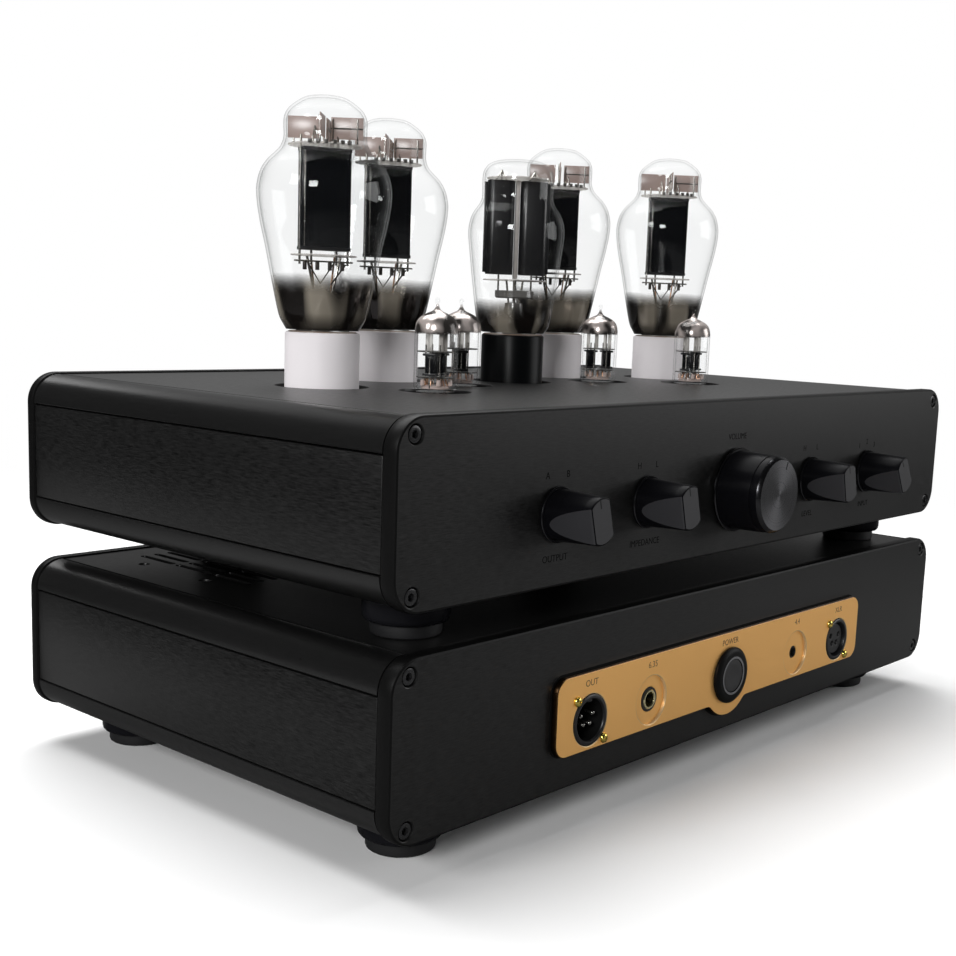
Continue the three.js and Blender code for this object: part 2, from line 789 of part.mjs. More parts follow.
const rearOpeningsOfSupply = [
  block(32, 30, 24, inletX, boxDepth, inletHeight),
  rod(linkSocketX, inletHeight, linkSocketRadius, boxDepth - linkSocketDepth, boxDepth + 2),
];
const rearOpeningsOfAmplifier = [
  ...phonoColumns.flatMap((column) =>
    phonoRows.map((row) => rod(inputX + column, inputRowHeight + row, 6.5, boxDepth - 20, boxDepth + 2, 10))),
  rod(linkSocketX, inletHeight, linkSocketRadius, boxDepth - linkSocketDepth, boxDepth + 2),
];

/** Ring-core mains transformer, bolted to the bottom panel through its middle. */
function powerTransformer() {
  const floor = railSetIn + panelThickness + clearance;
  const top = floor + toroidHeight;
  return turned(
    [[4, floor], [toroidRadius - 6, floor], [toroidRadius, floor + 6], [toroidRadius, top - 6],
      [toroidRadius - 6, top], [4, top], [4, floor]],
    24,
  ).translate([-90, 150, 0]);
}

/** Output transformers of both channels, potted in one can behind the valves. */
function outputTransformers() {
  const { width, depth, airAbove, x } = transformerCan;
  const floor = railSetIn + panelThickness + clearance;
  const height = deckTop - deckThickness - airAbove - floor;
  return block(width, depth, height, x, innerBack - 8 - depth / 2, floor + height / 2);
}

// ---------------------------------------------------------------- the two boxes

const ventRows = 4;
const ventPitchX = 7.75;
const ventPitchY = 29.6;
const ventOuterX = 176.5; // outermost row of slots
const ventMiddleY = 189;
const ventLength = 27;
const ventWidth = 3;

/** Two banks of cooling slots, and the round holes beside them. */
const ventHoles = [-1, 1].flatMap((side) => {
  const slots = [];
  for (let row = 0; row < ventRows; row++) {
    for (const column of [-1, 0, 1]) {
      const x = side * (ventOuterX - row * ventPitchX);
      slots.push(slot(x, ventMiddleY + column * ventPitchY, ventLength, ventWidth));
    }
  }
  const rounds = [-24.5, 24.5].map((y) => circle(side * (ventOuterX + 11.2), ventMiddleY + y, 2.6, 8));
  return [...slots, ...rounds];
});

function powerSupply() {
  const jackFace = -goldFace - jackRecessDepth;
  const socketOpening = (x, radius) => rod(x, socketLineHeight, radius, -1, frontPlateThickness + 1);
  const frontOpenings = [
    socketOpening(-xlrX, xlrShellRadius + clearance),
    socketOpening(xlrX, xlrShellRadius + clearance),
    socketOpening(-jackX, largeJackRing + clearance),
    socketOpening(jackX, smallJackRing + clearance),
    socketOpening(0, switchBarrelRadius + clearance),
  ];
  const group = new THREE.Group();
  group.add(
    ...shell("supply", supplyFeet, frontOpenings, rearOpeningsOfSupply, ventHoles),
    piece("socket_panel", goldPanel(), goldAnodised),
    piece("xlr_plug_output", xlrPlug(-xlrX), blackPlastic),
    piece("xlr_headphone_socket", xlrSocket(xlrX), blackPlastic),
    piece("jack_6_35", jack(-jackX, largeJackBore, largeJackRing, jackFace), brightGold),
    piece("jack_4_4", jack(jackX, smallJackBore, smallJackRing, jackFace - 0.6), brightGold),
    piece("power_switch", powerSwitch(), blackSatin),
    piece("power_button", powerButton(), blackSatin),
    piece("mains_inlet", mainsInlet(), blackPlastic),
    piece("power_transformer", powerTransformer(), blackLacquer),
  );
  group.position.set(0, frontFace, supplyBottom);
  return group;
}

function amplifier() {
  const frontOpenings = Object.values(knobPlaces).map((x) =>
    rod(x, knobLineHeight, shaftHoleRadius, -1, frontPlateThickness + 1, 10));
  const topHoles = [
    ...triodePlaces.map(([x, y]) => circle(x, y, largeHoleRadius, 24)),
    circle(rectifierPlace.x, rectifierPlace.y, largeHoleRadius, 24),
    ...driverPlaces.map(([x, y]) => circle(x, y, smallHoleRadius, 20)),
  ];
  const group = new THREE.Group();
  group.add(...shell("amplifier", amplifierFeet, frontOpenings, rearOpeningsOfAmplifier, topHoles));
  for (const [name, x] of Object.entries(knobPlaces)) {
    const knob = name === "volume_knob" ? volumeKnob() : selectorKnob(x, restAngles[name]);
    group.add(piece(name, knob, blackSatin));
  }
  group.add(
    piece("control_board", controlBoard(), steel),
    piece("valve_deck", valveDeck(), steel),
    piece("output_transformers", outputTransformers(), blackLacquer),
    piece("input_sockets", inputSockets(), brightGold),
  );
  const seat = panelFace - seatDepth;
  const addPlaced = (name, body, material, x, y, z) => {
    const mesh = piece(name, body, material);
    mesh.position.set(x, y, z);
    group.add(mesh);
  };
  triodePlaces.forEach(([x, y], i) => {
    const base = valveBase(triodePins.count, triodePins.circle, triodePins.radius, triodePlates);
    addPlaced(`triode_${i + 1}_glass`, bulb(triodeOutline), glass, x, y, panelFace);
    addPlaced(`triode_${i + 1}_base`, base, ceramic, x, y, seat);
  });
  const rectifierBase = valveBase(
    rectifierPins.count, rectifierPins.circle, rectifierPins.radius, rectifierPlates);
  addPlaced("rectifier_glass", bulb(rectifierOutline), glass, rectifierPlace.x, rectifierPlace.y, panelFace);
  addPlaced("rectifier_base", rectifierBase, bakelite, rectifierPlace.x, rectifierPlace.y, seat);
  driverPlaces.forEach(([x, y], i) => {
    addPlaced(`driver_valve_${i + 1}`, driverValve(), glass, x, y, panelFace - driverSeatDepth);
  });
  group.position.set(0, frontFace, amplifierBottom);
  return group;
}

const headphoneAmplifier = new THREE.Group();
headphoneAmplifier.add(powerSupply(), amplifier());
headphoneAmplifier.updateMatrixWorld(true);

export default headphoneAmplifier;
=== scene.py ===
import math
import bpy
import bmesh
from mathutils import Matrix, Vector


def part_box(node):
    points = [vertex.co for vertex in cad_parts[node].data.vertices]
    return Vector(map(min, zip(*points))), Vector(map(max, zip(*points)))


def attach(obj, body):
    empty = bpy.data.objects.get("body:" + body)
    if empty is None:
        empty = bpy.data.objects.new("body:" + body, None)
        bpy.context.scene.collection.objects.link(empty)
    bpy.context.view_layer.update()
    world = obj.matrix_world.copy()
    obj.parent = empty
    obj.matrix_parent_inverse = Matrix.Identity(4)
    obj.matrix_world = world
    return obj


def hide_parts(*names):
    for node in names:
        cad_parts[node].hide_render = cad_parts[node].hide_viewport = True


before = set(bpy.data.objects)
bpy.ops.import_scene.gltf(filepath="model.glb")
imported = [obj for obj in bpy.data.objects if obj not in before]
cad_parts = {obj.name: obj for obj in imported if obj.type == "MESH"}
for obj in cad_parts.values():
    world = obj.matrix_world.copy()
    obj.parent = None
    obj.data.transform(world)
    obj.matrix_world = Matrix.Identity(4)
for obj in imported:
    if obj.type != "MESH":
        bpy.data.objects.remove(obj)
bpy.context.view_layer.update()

# Sizes are in millimetres and are turned into metres where a mesh is made.
MM = 0.001
UP = "up"
FRONT_WARD = "front"
BACK_WARD = "back"
SAME_POINT = 1e-7  # in metres: corners closer than this are one corner
PIECE_SHARP = 32.0  # in degrees: where two smooth faces meet at more than this, the edge is sharp
PATTERN_SHARP = 35.0


def low(node):
    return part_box(node)[0] / MM


def high(node):
    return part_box(node)[1] / MM


def middle(node):
    return (low(node) + high(node)) / 2


def linked(name, data):
    """An object in the scene that holds a mesh, a text, a lamp or a camera."""
    made = bpy.data.objects.new(name, data)
    bpy.context.scene.collection.objects.link(made)
    return made


def evaluated_mesh(made):
    """A plain mesh of an object, as its text or its modifier makes it."""
    bpy.context.view_layer.update()
    evaluated = made.evaluated_get(bpy.context.evaluated_depsgraph_get())
    return bpy.data.meshes.new_from_object(evaluated)


def around(place, half):
    """Two ends, the same distance either side of a place."""
    return (place - half, place + half)


# ------------------------------------------------------------------ finishes


class Wire:
    """A node's output. Python's arithmetic on it adds Math nodes."""

    def __init__(self, finish, socket):
        self.finish = finish
        self.socket = socket

    def maths(self, operation, *values, clamp=False):
        settings = {"operation": operation, "use_clamp": clamp}
        return self.finish.node("ShaderNodeMath", settings, dict(enumerate(values)))

    def __add__(self, other):
        return self.maths("ADD", self, other)

    def __mul__(self, other):
        return self.maths("MULTIPLY", self, other)

    def __sub__(self, other):
        return self.maths("SUBTRACT", self, other)

    def __rsub__(self, other):
        return self.maths("SUBTRACT", other, self)

    def __truediv__(self, other):
        return self.maths("DIVIDE", self, other)

    def __pow__(self, other):
        return self.maths("POWER", self, other)

    __radd__ = __add__
    __rmul__ = __mul__

    def clamped(self):
        return self.maths("ADD", self, 0.0, clamp=True)

    def absolute(self):
        return self.maths("ABSOLUTE", self)

    def ramp(self, start, end):
        """0 up to start and 1 from end, smooth between; start may be above end."""
        return ((self - start) / (end - start)).clamped()


class Finish:
    """A material made of nodes."""

    def __init__(self, name):
        self.material = bpy.data.materials.new(name)
        self.material.use_nodes = True
        self.tree = self.material.node_tree
        self.tree.nodes.clear()

    def node(self, kind, settings=None, inputs=None, output=0):
        """A node of a kind, with its settings made first and then its sockets fed."""
        made = self.tree.nodes.new(kind)
        for key, value in (settings or {}).items():
            setattr(made, key, value)
        for key, value in (inputs or {}).items():
            self.feed(made.inputs[key], value)
        return Wire(self, made.outputs[output])

    def feed(self, socket, value):
        if isinstance(value, Wire):
            self.tree.links.new(value.socket, socket)
        elif isinstance(value, tuple) and len(value) == 3 and socket.type == "RGBA":
            socket.default_value = (*value, 1.0)
        else:
            socket.default_value = value

    def place(self):
        return self.node("ShaderNodeTexCoord", output="Object")

    def along(self, axis):
        """The place on the object along an axis, in millimetres."""
        split = self.node("ShaderNodeSeparateXYZ", None, {0: self.place()}, output=axis)
        return split * (1 / MM)

    def stretched(self, scale, centre=(0, 0, 0)):
        moved = self.node(
            "ShaderNodeVectorMath", {"operation": "SUBTRACT"}, {0: self.place(), 1: centre}
        )
        return self.node("ShaderNodeVectorMath", {"operation": "MULTIPLY"}, {0: moved, 1: scale})

    def noise(self, where, scale=1.0, detail=2.0, roughness=0.5):
        return self.node(
            "ShaderNodeTexNoise",
            None,
            {"Vector": where, "Scale": scale, "Detail": detail, "Roughness": roughness},
        )

    def blend(self, share, first, second):
        return self.node(
            "ShaderNodeMix", {"data_type": "RGBA"}, {0: share, 6: first, 7: second}, output=2
        )

    def bump(self, height, strength, distance):
        return self.node(
            "ShaderNodeBump",
            None,
            {"Strength": strength, "Distance": distance, "Height": height},
        )

    def principled(self, **inputs):
        named = {key.replace("_", " ").title(): value for key, value in inputs.items()}
        if "Specular" in named:
            named["Specular IOR Level"] = named.pop("Specular")
        if "Ior" in named:
            named["IOR"] = named.pop("Ior")
        return self.node("ShaderNodeBsdfPrincipled", None, named)

    def mixed(self, share, first, second):
        return self.node("ShaderNodeMixShader", None, {0: share, 1: first, 2: second})

    def surface(self, shader):
        out = self.tree.nodes.new("ShaderNodeOutputMaterial")
        self.tree.links.new(shader.socket, out.inputs["Surface"])
        return self.material


def brushed_black(name, stroke, dark, light, roughness, relief=1.0):
    """Black anodised aluminium, brushed along one axis; relief is how deep the brushing is."""
    finish = Finish(name)

    def strokes(along, across):
        scale = tuple(along if axis == stroke else across for axis in "xyz")
        return finish.noise(finish.stretched(scale), detail=2.0, roughness=0.6)

    scratches = strokes(260.0, 2600.0)
    bands = strokes(170.0, 2000.0)
    cloud = finish.noise(finish.place(), scale=9.0)
    grain = scratches * 0.45 + bands * 0.55
    tone = (grain * 0.9 + cloud * 0.1).ramp(0.36, 0.64)
    colour = finish.blend(tone, dark, light)
    rough = roughness + (grain - 0.5) * (0.35 * relief)
    normal = finish.bump(grain, 0.25 * relief, 0.00006)
    return finish.surface(
        finish.principled(base_color=colour, roughness=rough, normal=normal, specular=0.3)
    )


def satin_black(name, tone, roughness, metallic=0.0, specular=0.5):
    """Fine blasted or moulded black with a faint grain."""
    finish = Finish(name)
    speckle = finish.noise(finish.place(), scale=3200.0, detail=2.0)
    cloud = finish.noise(finish.place(), scale=30.0)
    colour = finish.blend(cloud, tone, tuple(c * 1.5 for c in tone))
    return finish.surface(
        finish.principled(
            base_color=colour,
            metallic=metallic,
            specular=specular,
            roughness=roughness + (speckle - 0.5) * 0.12,
            normal=finish.bump(speckle, 0.15, 0.00003),
        )
    )


def turned_black(name, tone, roughness, axis):
    """Lathe-turned black metal: fine rings round an axis, varying along it."""
    finish = Finish(name)
    rings = finish.noise(
        finish.stretched(tuple(4200.0 if a == axis else 12.0 for a in "xyz")), detail=3.0
    )
    colour = finish.blend(rings, tone, tuple(c * 1.9 for c in tone))
    return finish.surface(
        finish.principled(
            base_color=colour,
            roughness=roughness + (rings - 0.5) * 0.12,
            specular=0.03,
            normal=finish.bump(rings, 0.12, 0.00002),
        )
    )


def spun_black(name, centre, tone, roughness):
    """A faced-off end of a knob: fine circular marks round its centre, and a painted radial sheen
    that stands in for its reflection.
    """
    finish = Finish(name)
    local = finish.stretched((1 / MM, 0.0, 1 / MM), centre=centre)
    radius = finish.node("ShaderNodeVectorMath", {"operation": "LENGTH"}, {0: local}, output=1)
    marks = finish.node(
        "ShaderNodeTexNoise",
        {"noise_dimensions": "1D"},
        {"W": radius, "Scale": 5.5, "Detail": 3.0, "Roughness": 0.7},
    )
    split = finish.node("ShaderNodeSeparateXYZ", None, {0: local}, output=0)
    other = finish.node("ShaderNodeSeparateXYZ", None, {0: local}, output=2)
    turn = finish.node("ShaderNodeMath", {"operation": "ARCTAN2"}, {0: split, 1: other})
    # Painted sheen: the colour is lighter in two opposite sectors, standing in for the reflection
    # of the spun face.
    painted_sheen = (turn * 2.0 + 0.9).maths("SINE", turn * 2.0 + 0.9) * 0.5 + 0.5
    colour = finish.blend(
        (marks * 0.3 + painted_sheen * painted_sheen * 0.8).clamped(), tone, tuple(min(c * 9.0, 1.0) for c in tone)
    )
    return finish.surface(
        finish.principled(
            base_color=colour,
            metallic=0.6,
            roughness=roughness + (marks - 0.5) * 0.2,
            normal=finish.bump(marks, 0.4, 0.00004),
        )
    )


def gold(name, tone, roughness, grain, metallic=1.0):
    """Gold-coloured metal with a fine grain."""
    finish = Finish(name)
    fine = finish.noise(finish.place(), scale=2600.0, detail=2.0)
    cloud = finish.noise(finish.place(), scale=14.0)
    darker, lighter = tuple(c * 0.95 for c in tone), tuple(min(c * 1.04, 1) for c in tone)
    colour = finish.blend(cloud, darker, lighter)
    return finish.surface(
        finish.principled(
            base_color=colour,
            metallic=metallic,
            roughness=roughness + (fine - 0.5) * grain,
            normal=finish.bump(fine, 0.12 * min(grain * 8, 1.0), 0.00003),
        )
    )


def metal(name, tone, roughness):
    """Bare or plated metal with faint marks."""
    finish = Finish(name)
    marks = finish.noise(finish.place(), scale=900.0, detail=3.0)
    colour = finish.blend(marks, tuple(c * 0.85 for c in tone), tone)
    return finish.surface(
        finish.principled(
            base_color=colour, metallic=1.0, roughness=roughness + (marks - 0.5) * 0.15
        )
    )


def plain(name, tone, roughness, variation=0.12, scale=60.0, bump=0.0, **more):
    """A dielectric with slow and fine variation."""
    finish = Finish(name)
    slow = finish.noise(finish.place(), scale=scale)
    fine = finish.noise(finish.place(), scale=scale * 30, detail=2.0)
    colour = finish.blend(
        (slow * 0.7 + fine * 0.3),
        tuple(c * (1 - variation) for c in tone),
        tuple(min(c * (1 + variation), 1.0) for c in tone),
    )
    inputs = dict(base_color=colour, roughness=roughness + (fine - 0.5) * 0.1, **more)
    if bump:
        inputs["normal"] = finish.bump(fine, bump, 0.00005)
    return finish.surface(finish.principled(**inputs))


def mica_sheet(name, tone):
    """A thin see-through mineral sheet with cloudy patches."""
    finish = Finish(name)
    cloud = finish.noise(finish.place(), scale=220.0, detail=3.0)
    clear = finish.node("ShaderNodeBsdfTransparent", None, {"Color": (0.93, 0.92, 0.9)})
    sheet = finish.principled(base_color=tone, roughness=0.25 + cloud * 0.1)
    return finish.surface(finish.mixed((cloud * 0.5 + 0.2).clamped(), clear, sheet))


def clear_glass(name, smoke=None, mirror=None, outline=0.42):
    """Thin blown glass. smoke is the heights in mm where its film starts and is full; mirror has
    two more, where its film begins to fade and has gone."""
    finish = Finish(name)
    facing = finish.node("ShaderNodeLayerWeight", None, {"Blend": 0.5}, output="Facing")
    normal = finish.node("ShaderNodeNewGeometry", output="Normal")
    slope = finish.node("ShaderNodeSeparateXYZ", None, {0: normal}, output=2).absolute()
    gloss_share = ((facing ** 5.0) * 0.4 + 0.016) * slope.ramp(0.75, 0.25)
    clear = finish.node("ShaderNodeBsdfTransparent", None, {"Color": (0.988, 0.99, 0.99)})
    gloss = finish.node(
        "ShaderNodeBsdfGlossy", None, {"Color": (0.95, 0.96, 0.96), "Roughness": 0.02}
    )
    shader = finish.mixed(gloss_share, clear, gloss)
    # Painted shade: where the wall is seen edge-on it turns into an opaque grey surface, standing
    # in for the dark lines along the glass's rims; outline sets how strong it is.
    rim = ((facing ** 8.0) * outline).clamped()
    edge = finish.principled(base_color=(0.2, 0.21, 0.21), roughness=0.15)
    shader = finish.mixed(rim, shader, edge)
    height = finish.along("Z")
    ripple = finish.noise(finish.stretched((60.0, 60.0, 25.0)), detail=2.0) - 0.5
    if smoke:
        # Painted reflections: the smoky film is dark, with paler vertical streaks in its upper part
        # that stand in for what it reflects.
        reflection_streak = finish.noise(finish.stretched((70.0, 70.0, 5.0)), detail=1.0)
        reflection_band = height.ramp(smoke[1] - 16.0, smoke[1] - 8.0)
        tone = finish.blend(
            reflection_streak.ramp(0.46, 0.58) * reflection_band, (0.010, 0.008, 0.007), (0.33, 0.295, 0.24)
        )
        film = finish.principled(base_color=tone, metallic=0.25, roughness=0.08)
        share = ((height + ripple * 5.0).ramp(*smoke) ** 1.1) * 0.93
        shader = finish.mixed(share, shader, film)
    if mirror:
        # Painted reflections: the silvery film's pale and dark patches stand in for what it
        # reflects.
        reflection_streak = finish.noise(finish.stretched((150.0, 150.0, 120.0)), detail=1.0)
        tone = finish.blend(reflection_streak.ramp(0.4, 0.6), (0.05, 0.045, 0.042), (0.62, 0.55, 0.52))
        film = finish.principled(base_color=tone, metallic=0.45, roughness=0.2)
        start, full, end, tip = mirror
        grown = (height + ripple * 1.5).ramp(start, full)
        share = grown * height.ramp(tip, end) * 0.97
        shader = finish.mixed(share, shader, film)
    return finish.surface(shader)


TOP = high("amplifier_top_panel").z
GRAIN_DARK, GRAIN_LIGHT = (0.001, 0.001, 0.001), (0.013, 0.013, 0.013)
RAIL_DARK, RAIL_LIGHT = (0.005, 0.005, 0.005), (0.008, 0.008, 0.008)
BLACK_ALONG_X = brushed_black("black_brushed_along_x", "x", GRAIN_DARK, GRAIN_LIGHT, 0.36)
BLACK_ALONG_Y = brushed_black("black_brushed_along_y", "y", GRAIN_DARK, GRAIN_LIGHT, 0.36)
RAIL_BLACK = brushed_black("rail_black", "y", RAIL_DARK, RAIL_LIGHT, 0.3, relief=0.35)
EDGE_BLACK = satin_black("edge_black", (0.003, 0.003, 0.003), 0.42, specular=0.1)
SCREW_BLACK = satin_black("screw_black", (0.02, 0.02, 0.021), 0.25, 0.5)
# Painted shade: a darker, duller black for the insides of sockets and bores, the tongues in the
# rails' grooves and the border behind the gold panel, where shade falls.
SHADE_BLACK = satin_black("painted_shade_black", (0.003, 0.003, 0.003), 0.7, specular=0.1)
FOOT_BLACK = turned_black("foot_black", (0.005, 0.005, 0.006), 0.22, "z")
FOOT_RUBBER = plain("foot_rubber", (0.010, 0.010, 0.011), 0.55, bump=0.3)
KNOB_BLACK = turned_black("knob_black", (0.002, 0.002, 0.0025), 0.3, "y")
KNOB_FLAT = satin_black("knob_flat", (0.013, 0.013, 0.015), 0.45)
KNOB_RIM = metal("knob_rim", (0.06, 0.06, 0.064), 0.2)
INDEX_MARK = plain("index_mark", (0.002, 0.002, 0.002), 0.8)
GOLD_SATIN = gold("gold_satin", (0.93, 0.52, 0.17), 0.45, 0.1, 0.7)
GOLD_RIM = gold("gold_rim", (0.62, 0.45, 0.24), 0.4, 0.1, 0.5)
# Painted shade: a dark brown gold for the panel's outer rim and sides, standing in for the dark
# reflection they show.
GOLD_SHADED_EDGE = gold("gold_edge_painted_shade", (0.15, 0.085, 0.04), 0.25, 0.04)
JACK_GOLD = gold("jack_gold", (0.93, 0.84, 0.5), 0.18, 0.05)
BRASS = gold("brass_screw", (0.86, 0.68, 0.16), 0.2, 0.08)
PLASTIC_BLACK = plain("plastic_black", (0.006, 0.006, 0.007), 0.35, bump=0.15)
INSERT_DARK = plain("insert_dark", (0.009, 0.009, 0.0095), 0.5, bump=0.2)
INSERT_GREY = plain("insert_grey", (0.013, 0.013, 0.014), 0.55, bump=0.2)
PIN_GREY = metal("pin_grey", (0.34, 0.33, 0.31), 0.25)
PIN_SILVER = metal("pin_silver", (0.86, 0.84, 0.8), 0.2)
RING_GREY = plain("button_ring", (0.10, 0.10, 0.105), 0.4)
LETTER_GREY = plain("letter_grey", (0.002, 0.002, 0.002), 0.9, specular=0.1)
LETTER_ENGRAVED = plain("letter_engraved", (0.10, 0.055, 0.022), 0.5, metallic=0.3)
CERAMIC = plain(
    "ceramic_white", (0.93, 0.89, 0.91), 0.4, variation=0.03, scale=20.0, specular=0.12
)
BAKELITE = plain("base_black", (0.003, 0.0035, 0.004), 0.32, specular=0.08)
ANODE = plain("anode_dark", (0.003, 0.0035, 0.0045), 0.2, bump=0.1, scale=40.0, specular=0.3)
ANODE_GREY = plain("anode_grey", (0.010, 0.010, 0.011), 0.3, bump=0.2, scale=40.0)
MICA = mica_sheet("mica", (0.72, 0.69, 0.66))
MICA_PALE = plain("mica_pale", (0.42, 0.39, 0.37), 0.35, variation=0.25, scale=300.0)
MICA_DARK = plain("mica_dark", (0.05, 0.045, 0.04), 0.3)
TAB = plain("tab_brown", (0.36, 0.28, 0.255), 0.25, variation=0.2)
NICKEL = metal("nickel", (0.62, 0.6, 0.56), 0.25)
COPPER = metal("copper_wire", (0.75, 0.45, 0.3), 0.3)
WIRE_DARK = metal("wire_dark", (0.12, 0.11, 0.10), 0.4)
CEMENT = plain("base_cement", (0.16, 0.11, 0.08), 0.5)
DECK = metal("deck_zinc", (0.2, 0.2, 0.21), 0.45)
BOARD_GREEN = plain("board_green", (0.02, 0.09, 0.05), 0.4)
LACQUER = plain("lacquer_black", (0.012, 0.012, 0.013), 0.35, bump=0.2)
STEM_GLASS = plain("stem_glass", (0.17, 0.165, 0.155), 0.12, coat_weight=0.3)
TRIODE_GLASS = clear_glass("triode_glass", smoke=(TOP + 52, TOP + 42))
PINCH_GLASS = plain("pinch_glass", (0.62, 0.50, 0.46), 0.12, variation=0.2, coat_weight=0.5)
RECTIFIER_GLASS = clear_glass("rectifier_glass", smoke=(TOP + 44, TOP + 33))
DRIVER_GLASS = clear_glass(
    "driver_glass", mirror=(TOP + 26.3, TOP + 27.6, TOP + 37.5, TOP + 40.5), outline=0.9
)

# ------------------------------------------------------------------ meshes


def arc(centre_u, centre_v, radius, start, end, steps):
    """Points on an arc; the angles are in degrees."""
    turns = [math.radians(start + (end - start) * i / steps) for i in range(steps + 1)]
    return [
        Vector((centre_u + radius * math.cos(t), centre_v + radius * math.sin(t))) for t in turns
    ]


def circle_loop(u, v, radius, steps=40):
    return arc(u, v, radius, 0, 360, steps)[:-1]


def rounded_loop(left, right, bottom, top, radius, steps=12):
    """Anticlockwise rounded rectangle."""
    return (
        arc(right - radius, bottom + radius, radius, -90, 0, steps)
        + arc(right - radius, top - radius, radius, 0, 90, steps)
        + arc(left + radius, top - radius, radius, 90, 180, steps)
        + arc(left + radius, bottom + radius, radius, 180, 270, steps)
    )


def slot_loop(u, v, length, width, steps=8):
    """A slot with round ends that runs along v."""
    radius = width / 2
    reach = length / 2 - radius
    return arc(u, v + reach, radius, 0, 180, steps) + arc(u, v - reach, radius, 180, 360, steps)


def moved_left(loop, distance):
    """The loop moved to its own left by a distance."""
    moved = []
    for i, here in enumerate(loop):
        before = (here - loop[i - 1]).normalized()
        after = (loop[(i + 1) % len(loop)] - here).normalized()
        left = Vector((-before.y - after.y, before.x + after.x))
        moved.append(here + left * (2 * distance / max(left.length_squared, 0.2)))
    return moved


def smooth_profile(points, steps):
    """Catmull-Rom curve through (radius, height) points."""
    result = []
    for i in range(len(points) - 1):
        p0 = points[max(i - 1, 0)]
        p1, p2 = points[i], points[i + 1]
        p3 = points[min(i + 2, len(points) - 1)]
        if i == 0 and p1[0] == 0:
            p0 = (-p2[0], p2[1])
        for k in range(steps):
            t = k / steps
            result.append(
                tuple(
                    0.5
                    * (
                        2 * p1[a]
                        + (p2[a] - p0[a]) * t
                        + (2 * p0[a] - 5 * p1[a] + 4 * p2[a] - p3[a]) * t * t
                        + (3 * p1[a] - p0[a] - 3 * p2[a] + p3[a]) * t ** 3
                    )
                    for a in (0, 1)
                )
            )
    result.append(tuple(points[-1]))
    return [(max(r, 0.0), h) for r, h in result]


def flat_kept(source, name, sharp):
    """The finished mesh, with sharp edges found by their angle and its flat faces left flat."""
    smooth = [face.smooth for face in source.faces]
    mesh = bpy.data.meshes.new(name)
    source.to_mesh(mesh)
    source.free()
    mesh.set_sharp_from_angle(angle=math.radians(sharp))
    mesh.polygons.foreach_set("use_smooth", smooth)
    return mesh


HOLE_BEVEL = 0.4


